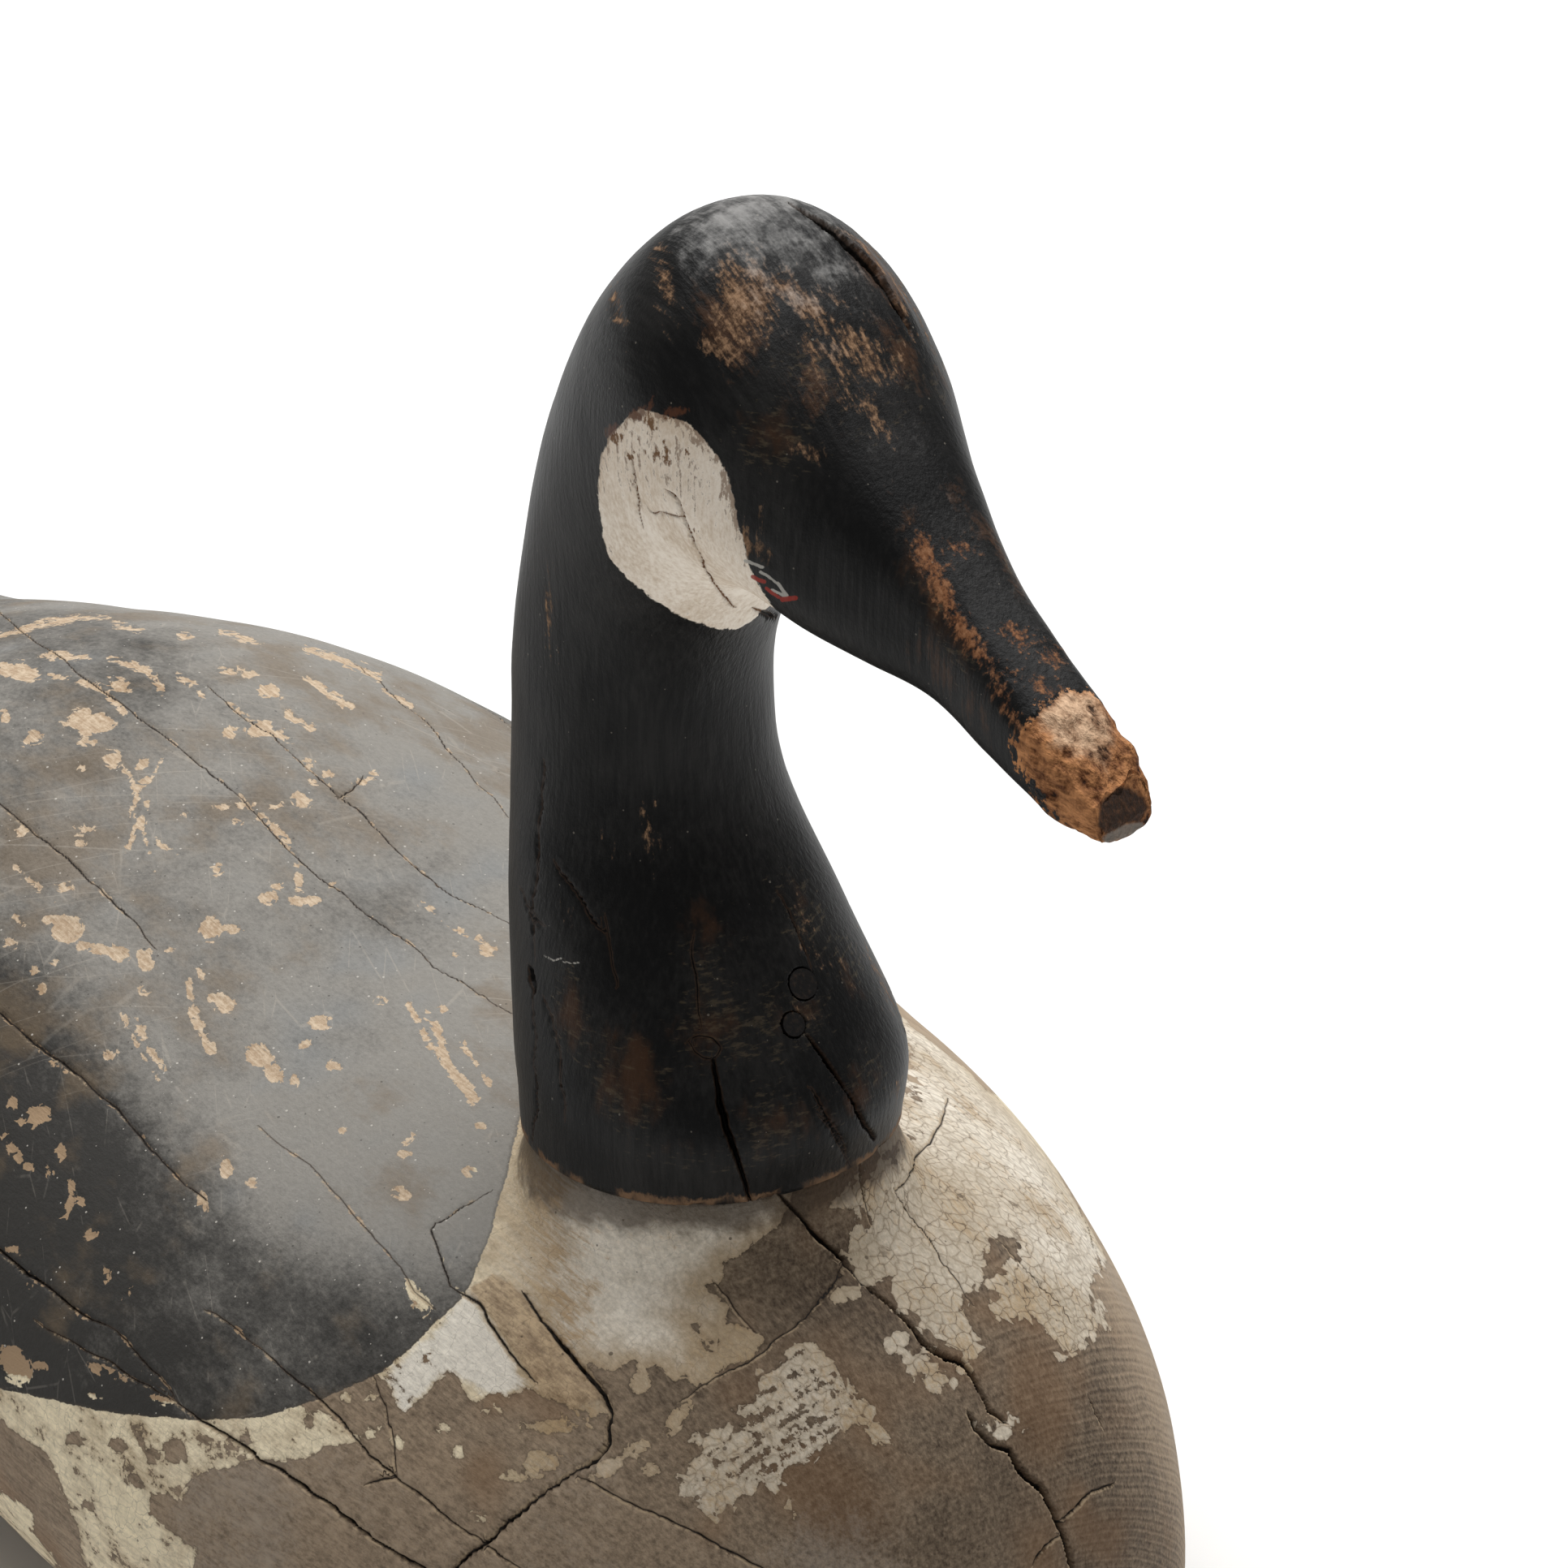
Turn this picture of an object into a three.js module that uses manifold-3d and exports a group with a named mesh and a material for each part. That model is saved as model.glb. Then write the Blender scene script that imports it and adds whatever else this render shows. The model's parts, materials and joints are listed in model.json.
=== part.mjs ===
// A carved wooden goose decoy: a solid body block, a head and neck carved in one piece,
// and two round plugs set flush in the foot of the neck.
// Millimetres. The goose faces +X, its left is +Y, and it stands on Z = 0.
import * as THREE from "three";
import { mergeVertices } from "three/addons/utils/BufferGeometryUtils.js";
import Module from "manifold-3d";

const wasm = await Module();
wasm.setup();

// Overall sizes of the body block.
const BODY_LENGTH = 563;
const BODY_WIDTH = 244;
const BACK_HEIGHT = 155;

// The neck stands on a raised seat cut out of the body block.
const NECK_SETBACK_LENGTH = 103;
const SEAT_ABOVE_BACK_HEIGHT = 5;
const NECK_BASE_HEIGHT = BACK_HEIGHT + SEAT_ABOVE_BACK_HEIGHT;
const NECK_BASE_DEPTH = 79.4;
const NECK_BASE_WIDTH = 77.6;
const NECK_BASE_RISE_DEG = 4.9;
const JOINT_GAP = 0.3;
const SEAT_INSET_WIDTH = 1.4;
const SEAT_BACK_WIDTH = 20;
const SEAT_FRONT_WIDTH = 30;
const SEAT_BACK_DEPTH = 24;
const SEAT_FRONT_DEPTH = 38;
const SEAT_SIDES_DEPTH = 35;
const SEAT_ROOT_DEPTH = 45;

// Overall sizes of the head and neck, measured from the middle of the neck's base.
const CROWN_HEIGHT = 212.5;
const BILL_TIP_LENGTH = 137;
const HEAD_WIDTH = 64.6;
const BILL_WIDTH = 20;

// The two plugs: how big, how deep, and where each sits on the foot of the neck.
const UPPER_PLUG_DIAMETER = 6.4;
const LOWER_PLUG_DIAMETER = 5;
const PLUG_LENGTH = 9;
const PLUG_SUNK_DEPTH = 0.15;
const PLUG_GAP = 0.3;
const PLUG_HOLE_LEAD_LENGTH = 4;
const PLUG_TILT_DEG = 36;
const UPPER_PLUG_HEIGHT = 42.2;
const UPPER_PLUG_OFFSET = 4.9;
const LOWER_PLUG_HEIGHT = 36.7;
const LOWER_PLUG_OFFSET = -0.5;

// Body sections from tail to breast, as shares of the overall sizes:
// along the length, half breadth, crest, height of the widest level, keel before the flat is cut.
const BODY_SECTIONS = [
  [0.0, 0.082, 0.658, 0.626, 0.587],
  [0.0195, 0.189, 0.684, 0.619, 0.542],
  [0.0675, 0.289, 0.677, 0.607, 0.465],
  [0.142, 0.432, 0.706, 0.583, 0.284],
  [0.245, 0.634, 0.853, 0.537, 0.117],
  [0.377, 0.867, 0.998, 0.505, 0.003],
  [0.504, 0.976, 0.994, 0.5, -0.045],
  [0.63, 1.0, 0.955, 0.481, -0.055],
  [0.744, 0.966, 0.955, 0.452, -0.058],
  [0.832, 0.859, 0.968, 0.411, -0.048],
  [0.9085, 0.707, 0.929, 0.383, 0.001],
  [0.9663, 0.509, 0.787, 0.387, 0.084],
  [0.993, 0.268, 0.606, 0.39, 0.206],
  [1.0, 0.0, 0.394, 0.394, 0.394],
];

// Head and neck sections from base to bill tip, as shares of the overall sizes:
// nape x, nape z, throat x, throat z, half width.
const HEAD_SECTIONS = [
  [-0.309, 0.084, 0.299, 0.095, 1.217],
  [-0.346, 0.206, 0.182, 0.208, 1.053],
  [-0.369, 0.351, 0.054, 0.327, 0.864],
  [-0.358, 0.491, 0.023, 0.44, 0.82],
  [-0.312, 0.634, 0.058, 0.536, 0.827],
  [-0.222, 0.781, 0.13, 0.608, 0.907],
  [-0.089, 0.919, 0.213, 0.647, 0.981],
  [0.078, 1.0, 0.316, 0.657, 1.0],
  [0.266, 0.959, 0.417, 0.653, 0.836],
  [0.455, 0.862, 0.521, 0.652, 0.567],
];

// Bill sections, in the same shares, with the half width as a share of the bill's.
const BILL_SECTIONS = [
  [0.629, 0.781, 0.628, 0.649, 1.21],
  [0.755, 0.737, 0.75, 0.627, 1.07],
  [0.889, 0.693, 0.889, 0.611, 1.0],
  [1.0, 0.645, 0.988, 0.617, 0.7],
];

// How square each section is: 2 is an ellipse, larger is squarer.
const BACK_SQUARENESS = 2.0;
const KEEL_SQUARENESS = 2.3;
const NECK_SQUARENESS = 2.1;
const BILL_SQUARENESS = 3.0;
const BILL_BLEND_ROWS = 2;

// How the seat's flank falls away: the power of its curve behind and in front.
const SEAT_BACK_CURVE = 3;
const SEAT_FRONT_CURVE = 2;
const SEAT_ROOT_TAPER = 0.8;

// How finely each surface is cut into facets.
const ROWS_PER_SECTION = 4;
const BACK_FACETS = 22;
const BILGE_FACETS = 9;
const FLAT_FACETS = 4;
const NECK_FACETS = 32;
const SEAT_FACETS = 44;
const SEAT_ROWS = 9;
const SEAT_ROW_CROWDING = 1.5;
const PLUG_FACETS = 20;
const KEEL_LIMIT_DEG = 82;
const NOSE_CAP = 0.06;

// The plugs are looked for between the neck's base and this section, to this share of a section.
const PLUG_SEARCH_ROWS = 3;
const PLUG_SEARCH_STEP = 1e-6;

const clamp = THREE.MathUtils.clamp;
const lerp = THREE.MathUtils.lerp;
const radians = THREE.MathUtils.degToRad;

// The rows of a table that ends in a rounded nose, with one more row past the nose, mirrored
// in its point, so that the curves arrive there square to the axis.
function withRoundNose(table) {
  const [along, , , tip] = table[table.length - 1];
  const [before, breadth, crest, belt, keel] = table[table.length - 2];
  const past = 2 * tip - belt;
  return [...table, [before, -breadth, 2 * tip - crest, past, 2 * tip - keel]]
    .map((row) => [Math.min(row[0], along), ...row.slice(1)]);
}

// A smooth curve through every row of a table, read at the position s counted in rows.
function readRow(table, s) {
  const last = table.length - 1;
  const i = clamp(Math.floor(s), 0, last - 1);
  const f = s - i;
  return table[i].map((_, column) => {
    const b = table[i][column];
    const c = table[i + 1][column];
    const a = i > 0 ? table[i - 1][column] : 2 * b - c;
    const d = i + 2 <= last ? table[i + 2][column] : 2 * c - b;
    const cubic = -a + 3 * b - 3 * c + d;
    return 0.5 * (2 * b + (c - a) * f + (2 * a - 5 * b + 4 * c - d) * f * f + cubic * f ** 3);
  });
}

// One coordinate of a rounded section: the sign and power that turn a circle into a squarer loop.
function rounded(value, squareness) {
  return Math.sign(value) * Math.abs(value) ** (2 / squareness);
}

// A closed skin over a stack of loops that all have the same number of points.
function skin(loops) {
  const around = loops[0].length;
  const points = loops.flat();
  const faces = [];
  for (let row = 0; row + 1 < loops.length; row += 1) {
    for (let k = 0; k < around; k += 1) {
      const a = row * around + k;
      const b = row * around + ((k + 1) % around);
      faces.push(a, b, b + around, a, b + around, a + around);
    }
  }
  const middle = (loop) => loop
    .reduce((sum, p) => sum.add(p), new THREE.Vector3())
    .divideScalar(loop.length);
  const first = points.push(middle(loops[0])) - 1;
  const end = points.push(middle(loops[loops.length - 1])) - 1;
  const top = (loops.length - 1) * around;
  for (let k = 0; k < around; k += 1) {
    const next = (k + 1) % around;
    faces.push(first, next, k);
    faces.push(end, top + k, top + next);
  }
  const geometry = new THREE.BufferGeometry().setFromPoints(points);
  geometry.setIndex(faces);
  return geometry;
}

// three.js geometry to a solid that can be joined and cut, and back.
function toSolid(geometry) {
  const bare = new THREE.BufferGeometry();
  bare.setAttribute("position", geometry.getAttribute("position"));
  bare.setIndex(geometry.getIndex());
  const merged = mergeVertices(bare, 1e-4);
  return new wasm.Manifold(new wasm.Mesh({
    numProp: 3,
    vertProperties: new Float32Array(merged.attributes.position.array),
    triVerts: new Uint32Array(merged.index.array),
  }));
}

function toGeometry(solid) {
  const mesh = solid.getMesh();
  const geometry = new THREE.BufferGeometry();
  const positions = new Float32Array(mesh.numVert * 3);
  for (let i = 0; i < mesh.numVert; i += 1) {
    const start = i * mesh.numProp;
    positions.set(mesh.vertProperties.subarray(start, start + 3), i * 3);
  }
  geometry.setAttribute("position", new THREE.BufferAttribute(positions, 3));
  geometry.setIndex(new THREE.BufferAttribute(new Uint32Array(mesh.triVerts), 1));
  return geometry;
}

const BODY_CURVE = withRoundNose(BODY_SECTIONS);

// One loop around the body: over the back, down the right side, across the flat and up the left.
function bodyLoop(s) {
  const [along, breadth, crest, belt, keel] = readRow(BODY_CURVE, s);
  const x = along * BODY_LENGTH;
  const half = (breadth * BODY_WIDTH) / 2;
  const beltZ = belt * BACK_HEIGHT;
  const upper = crest * BACK_HEIGHT - beltZ;
  const lower = beltZ - keel * BACK_HEIGHT;
  const cut = clamp(beltZ / lower, 0, 1) ** (KEEL_SQUARENESS / 2);
  const stop = Math.min(Math.asin(cut), radians(KEEL_LIMIT_DEG));
  const loop = [];
  const add = (y, z) => loop.push(new THREE.Vector3(x, y, z));
  for (let k = 0; k < BACK_FACETS; k += 1) {
    const a = (Math.PI * k) / BACK_FACETS;
    add(half * rounded(Math.cos(a), BACK_SQUARENESS),
      beltZ + upper * rounded(Math.sin(a), BACK_SQUARENESS));
  }
  const bilge = (share, side) => {
    const a = stop * share;
    add(side * half * rounded(Math.cos(a), KEEL_SQUARENESS),
      beltZ - lower * rounded(Math.sin(a), KEEL_SQUARENESS));
  };
  for (let k = 0; k <= BILGE_FACETS; k += 1) {
    bilge(k / BILGE_FACETS, -1);
  }
  const edge = loop[loop.length - 1];
  for (let k = 1; k < FLAT_FACETS; k += 1) {
    add(lerp(edge.y, -edge.y, k / FLAT_FACETS), edge.z);
  }
  for (let k = BILGE_FACETS; k > 0; k -= 1) {
    bilge(k / BILGE_FACETS, 1);
  }
  return loop;
}

// One loop around the neck, head or bill, lying in the plane through its nape and throat.
function neckLoop([napeX, napeZ, throatX, throatZ, half], squareness, inset = 0) {
  const nape = new THREE.Vector3(napeX, 0, napeZ);
  const throat = new THREE.Vector3(throatX, 0, throatZ);
  const middle = nape.clone().add(throat).multiplyScalar(0.5);
  const forward = throat.clone().sub(nape).multiplyScalar(0.5);
  const reach = forward.length();
  const loop = [];
  for (let k = 0; k < NECK_FACETS; k += 1) {
    const a = (2 * Math.PI * k) / NECK_FACETS;
    const point = middle.clone();
    point.addScaledVector(forward, (rounded(Math.cos(a), squareness) * (reach - inset)) / reach);
    point.y = (half - inset) * rounded(Math.sin(a), squareness);
    loop.push(point);
  }
  return loop;
}

// The neck's bottom loop: level from side to side, rising a little towards the breast.
function baseRow() {
  const x = (NECK_BASE_DEPTH / 2) * Math.cos(radians(NECK_BASE_RISE_DEG));
  const z = (NECK_BASE_DEPTH / 2) * Math.sin(radians(NECK_BASE_RISE_DEG));
  return [-x, -z, x, z, NECK_BASE_WIDTH / 2];
}

// Every neck, head and bill section in millimetres from the middle of the neck's base.
function headRows() {
  const scale = (halfWidth) => (row) => [
    row[0] * BILL_TIP_LENGTH,
    row[1] * CROWN_HEIGHT,
    row[2] * BILL_TIP_LENGTH,
    row[3] * CROWN_HEIGHT,
    row[4] * halfWidth,
  ];
  return [
    baseRow(),
    ...HEAD_SECTIONS.map(scale(HEAD_WIDTH / 2)),
    ...BILL_SECTIONS.map(scale(BILL_WIDTH / 2)),
  ];
}

function headSolid() {
  const rows = headRows();
  const billStart = HEAD_SECTIONS.length;
  const steps = (rows.length - 1) * ROWS_PER_SECTION;
  const loops = [];
  for (let step = 0; step <= steps; step += 1) {
    const s = step / ROWS_PER_SECTION;
    const square = THREE.MathUtils.smoothstep(s, billStart - BILL_BLEND_ROWS, billStart + 1);
    loops.push(neckLoop(readRow(rows, s), lerp(NECK_SQUARENESS, BILL_SQUARENESS, square)));
  }
  return toSolid(skin(loops));
}

// The raised seat: a flared stump under the neck, steep behind and easier in front,
// whose root is sunk in the body block.
function seatSolid() {
  const rise = Math.tan(radians(NECK_BASE_RISE_DEG));
  const loops = [];
  for (let row = 0; row <= SEAT_ROWS; row += 1) {
    const share = (row / SEAT_ROWS) ** SEAT_ROW_CROWDING;
    const loop = [];
    for (let k = 0; k < SEAT_FACETS; k += 1) {
      const a = (2 * Math.PI * k) / SEAT_FACETS;
      const front = (1 + Math.cos(a)) / 2;
      const foot = lerp(SEAT_BACK_WIDTH, SEAT_FRONT_WIDTH, front);
      const ends = lerp(SEAT_BACK_DEPTH, SEAT_FRONT_DEPTH, front);
      const drop = lerp(ends, SEAT_SIDES_DEPTH, Math.sin(a) ** 2);
      const fall = 1 - (1 - share) ** lerp(SEAT_BACK_CURVE, SEAT_FRONT_CURVE, front);
      const x = (NECK_BASE_DEPTH / 2 - SEAT_INSET_WIDTH + foot * share) * Math.cos(a);
      const y = (NECK_BASE_WIDTH / 2 - SEAT_INSET_WIDTH + foot * share) * Math.sin(a);
      loop.push(new THREE.Vector3(x, y, rise * x - JOINT_GAP - drop * fall));
    }
    loops.push(loop);
  }
  const root = new THREE.Vector3(SEAT_ROOT_TAPER, SEAT_ROOT_TAPER, 1);
  const sunk = new THREE.Vector3(0, 0, -SEAT_ROOT_DEPTH);
  loops.push(loops[SEAT_ROWS].map((point) => point.clone().multiply(root).add(sunk)));
  return toSolid(skin(loops.reverse()));
}

function bodySolid() {
  const nose = BODY_SECTIONS.length - 1;
  const loops = [];
  for (let step = 0; step < nose * ROWS_PER_SECTION; step += 1) {
    loops.push(bodyLoop(step / ROWS_PER_SECTION));
  }
  loops.push(bodyLoop(nose - NOSE_CAP));
  return toSolid(skin(loops));
}

// The way the plugs go in: backwards and down, square to the slope of the neck's foot.
const inwards = new THREE.Vector3(
  -Math.cos(radians(PLUG_TILT_DEG)),
  0,
  -Math.sin(radians(PLUG_TILT_DEG)),
);

// A round bar that starts at a point and runs inwards.
function barSolid(diameter, length, start) {
  const bar = new THREE.CylinderGeometry(diameter / 2, diameter / 2, length, PLUG_FACETS);
  bar.deleteAttribute("normal");
  bar.deleteAttribute("uv");
  bar.rotateX(Math.PI / 2);
  const turn = new THREE.Quaternion().setFromUnitVectors(new THREE.Vector3(0, 0, 1), inwards);
  bar.applyQuaternion(turn);
  const middle = start.clone().addScaledVector(inwards, length / 2);
  bar.translate(middle.x, middle.y, middle.z);
  return toSolid(bar);
}

// Where the front of the neck is at this height and this offset from its middle line.
function neckFront(height, offset) {
  const rows = headRows();
  const at = (s) => {
    const [napeX, napeZ, throatX, throatZ, half] = readRow(rows, s);
    const side = Math.abs(clamp(offset / half, -1, 1)) ** NECK_SQUARENESS;
    const share = 0.5 + 0.5 * (1 - side) ** (1 / NECK_SQUARENESS);
    return new THREE.Vector3(lerp(napeX, throatX, share), offset, lerp(napeZ, throatZ, share));
  };
  let low = 0;
  let high = PLUG_SEARCH_ROWS;
  while (high - low > PLUG_SEARCH_STEP) {
    const middle = (low + high) / 2;
    if (at(middle).z < height) {
      low = middle;
    } else {
      high = middle;
    }
  }
  return at(low);
}

// A plug and the hole it fills, both aimed square into the neck.
function plugAndHole(diameter, height, offset) {
  const surface = neckFront(height, offset);
  const start = surface.clone().addScaledVector(inwards, PLUG_SUNK_DEPTH);
  const plug = barSolid(diameter, PLUG_LENGTH, start);
  const mouth = surface.clone().addScaledVector(inwards, -PLUG_HOLE_LEAD_LENGTH);
  const depth = PLUG_HOLE_LEAD_LENGTH + PLUG_SUNK_DEPTH + PLUG_LENGTH + PLUG_GAP;
  const hole = barSolid(diameter + 2 * PLUG_GAP, depth, mouth);
  return { plug, hole };
}

const upper = plugAndHole(UPPER_PLUG_DIAMETER, UPPER_PLUG_HEIGHT, UPPER_PLUG_OFFSET);
const lower = plugAndHole(LOWER_PLUG_DIAMETER, LOWER_PLUG_HEIGHT, LOWER_PLUG_OFFSET);

const neckX = BODY_LENGTH - NECK_SETBACK_LENGTH;
const seated = (solid) => solid.translate(neckX, 0, NECK_BASE_HEIGHT);
const solids = {
  body: bodySolid().add(seated(seatSolid())),
  head_and_neck: seated(headSolid().subtract(upper.hole).subtract(lower.hole)),
  upper_neck_plug: seated(upper.plug),
  lower_neck_plug: seated(lower.plug),
};

const FINISHES = {
  body: { color: 0x8b857a, roughness: 0.85 },
  head_and_neck: { color: 0x22211f, roughness: 0.6 },
  upper_neck_plug: { color: 0x2a241e, roughness: 0.7 },
  lower_neck_plug: { color: 0x33261c, roughness: 0.7 },
};

// The frame's origin is the middle of the box around the whole decoy, on the ground.
const geometries = Object.entries(solids).map(([name, solid]) => [name, toGeometry(solid)]);
const box = new THREE.Box3();
for (const [, geometry] of geometries) {
  geometry.computeBoundingBox();
  box.union(geometry.boundingBox);
}
const centre = box.getCenter(new THREE.Vector3());

const decoy = new THREE.Group();
decoy.name = "goose_decoy";
for (const [name, geometry] of geometries) {
  geometry.translate(-centre.x, -centre.y, -box.min.z);
  const material = new THREE.MeshStandardMaterial({ ...FINISHES[name], metalness: 0 });
  const mesh = new THREE.Mesh(geometry, material);
  mesh.name = name;
  decoy.add(mesh);
}

export default decoy;
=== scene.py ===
# %% [markdown]
# # A carved goose decoy, dressed for a portrait
#
# The real thing is two blocks of wood and a good deal of weather. A log was hewn into a
# body, a second block was carved into a neck and head, and the two were joined on a raised
# seat. Then came coats of black, grey and cream paint, and decades of sun and knocks.
# The plain solids come from the frame. Here each block gets a finely meshed skin of the
# same shape, with its cracks and chips cut in, and paint that has flaked where it really has.

# %% Load the frame
import json
import math

import bpy
import numpy as np
from mathutils import Matrix, Vector

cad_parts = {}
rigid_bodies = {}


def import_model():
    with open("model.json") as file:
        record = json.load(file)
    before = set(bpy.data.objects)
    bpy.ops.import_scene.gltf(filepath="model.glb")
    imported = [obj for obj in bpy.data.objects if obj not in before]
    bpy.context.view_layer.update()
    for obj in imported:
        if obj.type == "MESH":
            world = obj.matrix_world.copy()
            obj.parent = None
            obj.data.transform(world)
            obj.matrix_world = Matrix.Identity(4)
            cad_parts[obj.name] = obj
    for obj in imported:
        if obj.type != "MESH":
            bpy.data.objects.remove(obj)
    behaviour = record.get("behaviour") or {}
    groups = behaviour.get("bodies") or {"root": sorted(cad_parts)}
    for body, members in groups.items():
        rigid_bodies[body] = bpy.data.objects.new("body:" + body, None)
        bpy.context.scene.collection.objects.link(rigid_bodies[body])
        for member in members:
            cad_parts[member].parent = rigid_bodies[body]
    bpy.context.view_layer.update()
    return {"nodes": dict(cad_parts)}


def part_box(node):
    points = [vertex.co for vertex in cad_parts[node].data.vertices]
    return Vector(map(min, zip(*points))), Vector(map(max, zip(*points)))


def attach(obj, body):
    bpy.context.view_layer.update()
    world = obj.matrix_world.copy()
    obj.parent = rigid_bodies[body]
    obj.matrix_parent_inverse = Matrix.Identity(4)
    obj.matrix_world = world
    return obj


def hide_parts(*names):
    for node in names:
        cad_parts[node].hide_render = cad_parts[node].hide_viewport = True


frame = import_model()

# %% [markdown]
# ## The camera comes first
#
# Much of this decoy's character is in marks that sit at one exact place: a check in the
# breast, a chip on the back, the painted eye. The quickest way to put such a mark in place
# is to say where it is in the photograph, and let the camera carry it onto the wood. So the
# camera is worked out before anything else. Pixel places are in a frame 1932 pixels a side,
# columns to the right and rows downwards. Everything else is in millimetres until the very
# end, with the goose facing +X, its left side +Y, and the ground at Z = 0.

# %% The photograph's camera
PHOTO_SIDE = 1932
PHOTO_FOCUS = 8500.0
PHOTO_AZIMUTH = math.radians(54.5)
PHOTO_ELEVATION = math.radians(30.0)
PHOTO_DISTANCE = 1370.0
PHOTO_AIM = np.array([187.54, 0.0, 250.52])

towards_camera = np.array([
    math.sin(PHOTO_AZIMUTH) * math.cos(PHOTO_ELEVATION),
    -math.cos(PHOTO_AZIMUTH) * math.cos(PHOTO_ELEVATION),
    math.sin(PHOTO_ELEVATION),
])
camera_right = np.array([math.cos(PHOTO_AZIMUTH), math.sin(PHOTO_AZIMUTH), 0.0])
camera_up = np.cross(towards_camera, camera_right)
camera_place = PHOTO_AIM + PHOTO_DISTANCE * towards_camera


def photo_pixels(points):
    """Where points in millimetres fall in the photograph.

    The sideways and the upward distance from the line of sight are each divided by the
    distance ahead of the camera and multiplied by the focus, from the picture's middle.
    """
    offset = points - camera_place
    ahead = -(offset @ towards_camera)
    column = PHOTO_SIDE / 2 + PHOTO_FOCUS * (offset @ camera_right) / ahead
    row = PHOTO_SIDE / 2 - PHOTO_FOCUS * (offset @ camera_up) / ahead
    return np.stack([column, row], axis=1)


print("camera stands at", np.round(camera_place / 1000, 4).tolist())

# %% [markdown]
# ## A smooth curve through a few sections
#
# A boat builder draws a hull with a dozen cross sections and lets a batten find the lines
# between them. A Catmull-Rom curve does the same here: it passes through every row of a
# table and needs no handles, so the table stays short. The whole table is read at once for
# any number of places, as arrays, which is what keeps a fine mesh quick to make.


# %% Reading a table of sections
def read_rows(table, place):
    """Every column of a table at places counted in rows.

    A cubic through the rows before and after: half of 2b + (c - a)f + (2a - 5b + 4c - d)f2
    + (3b - 3c + d - a)f3, where b and c are the rows on either side and f the share between.
    """
    last = len(table) - 1
    row = np.clip(np.floor(place).astype(int), 0, last - 1)
    f = (place - row)[:, None]
    b, c = table[row], table[row + 1]
    a = np.where((row > 0)[:, None], table[np.maximum(row - 1, 0)], 2 * b - c)
    d = np.where((row + 2 <= last)[:, None], table[np.minimum(row + 2, last)], 2 * c - b)
    return 0.5 * (2 * b + (c - a) * f + (2 * a - 5 * b + 4 * c - d) * f**2
                  + (3 * b - 3 * c + d - a) * f**3)


def rounded(value, squareness):
    """One coordinate of a section: a circle's sine or cosine to the power 2 / squareness."""
    return np.sign(value) * np.abs(value) ** (2 / squareness)


def ease(low, high, value):
    """A soft step from 0 at low to 1 at high: 3t2 - 2t3."""
    t = np.clip((value - low) / (high - low), 0, 1)
    return t * t * (3 - 2 * t)


def blend(a, b, share):
    """The value this share of the way from a to b."""
    return a + (b - a) * share


# %% [markdown]
# ## The body block
#
# The body is a hollow-cheeked barrel: full and round over the back, with a flat cut under
# it to stand on. Each section is half an ellipse above its widest level and a slightly
# squarer half below. The seat for the neck is a flared stump. It is laid over the back
# with a soft maximum, so that the two run together in the hand-cut hollow that the real
# block shows.

# %% Sizes of the body
BODY_LENGTH = 563.0
BODY_WIDTH = 244.0
BACK_HEIGHT = 155.0
FRAME_MIDDLE = 298.5
BACK_SQUARENESS = 2.0
KEEL_SQUARENESS = 2.3
KEEL_LIMIT = math.radians(82)
NOSE_ROW = 13.0

# Shares of the sizes, tail to breast: along, half breadth, crest, widest level, keel.
BODY_SECTIONS = np.array([
    [0.0, 0.082, 0.658, 0.626, 0.587],
    [0.0195, 0.189, 0.684, 0.619, 0.542],
    [0.0675, 0.289, 0.677, 0.607, 0.465],
    [0.142, 0.432, 0.706, 0.583, 0.284],
    [0.245, 0.634, 0.853, 0.537, 0.117],
    [0.377, 0.867, 0.998, 0.505, 0.003],
    [0.504, 0.976, 0.994, 0.5, -0.045],
    [0.63, 1.0, 0.955, 0.481, -0.055],
    [0.744, 0.966, 0.955, 0.452, -0.058],
    [0.832, 0.859, 0.968, 0.411, -0.048],
    [0.9085, 0.707, 0.929, 0.383, 0.001],
    [0.9663, 0.509, 0.787, 0.387, 0.084],
    [0.993, 0.268, 0.606, 0.39, 0.206],
    [1.0, 0.0, 0.394, 0.394, 0.394],
    [0.993, -0.268, 0.182, 0.398, 0.582],
])

# Shares of the way round a section that the back, a bilge and the flat bottom take.
BACK_SHARE = 0.46
BILGE_SHARE = 0.21
FLAT_SHARE = 0.12

# The neck's foot and the seat under it.
NECK_X = BODY_LENGTH - 103.0 - FRAME_MIDDLE
NECK_Z = BACK_HEIGHT + 5.0
NECK_DEPTH = 79.4
NECK_WIDTH = 77.6
NECK_RISE = math.radians(4.9)
SEAT_GAP = 0.3
SEAT_INSET = 1.4
SEAT_MELT = 5.0

# The seat's reach from the foot and its drop, behind, in front and at the sides.
REACH_BEHIND, REACH_IN_FRONT = 20.0, 30.0
DROP_BEHIND, DROP_IN_FRONT, DROP_BESIDE = 24.0, 38.0, 35.0
UNDERCUT = 1.6
UNDERCUT_TURN, UNDERCUT_SPREAD = 40, 45
print("body", BODY_LENGTH, "mm long on", len(BODY_SECTIONS), "sections; neck at x", NECK_X)


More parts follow.
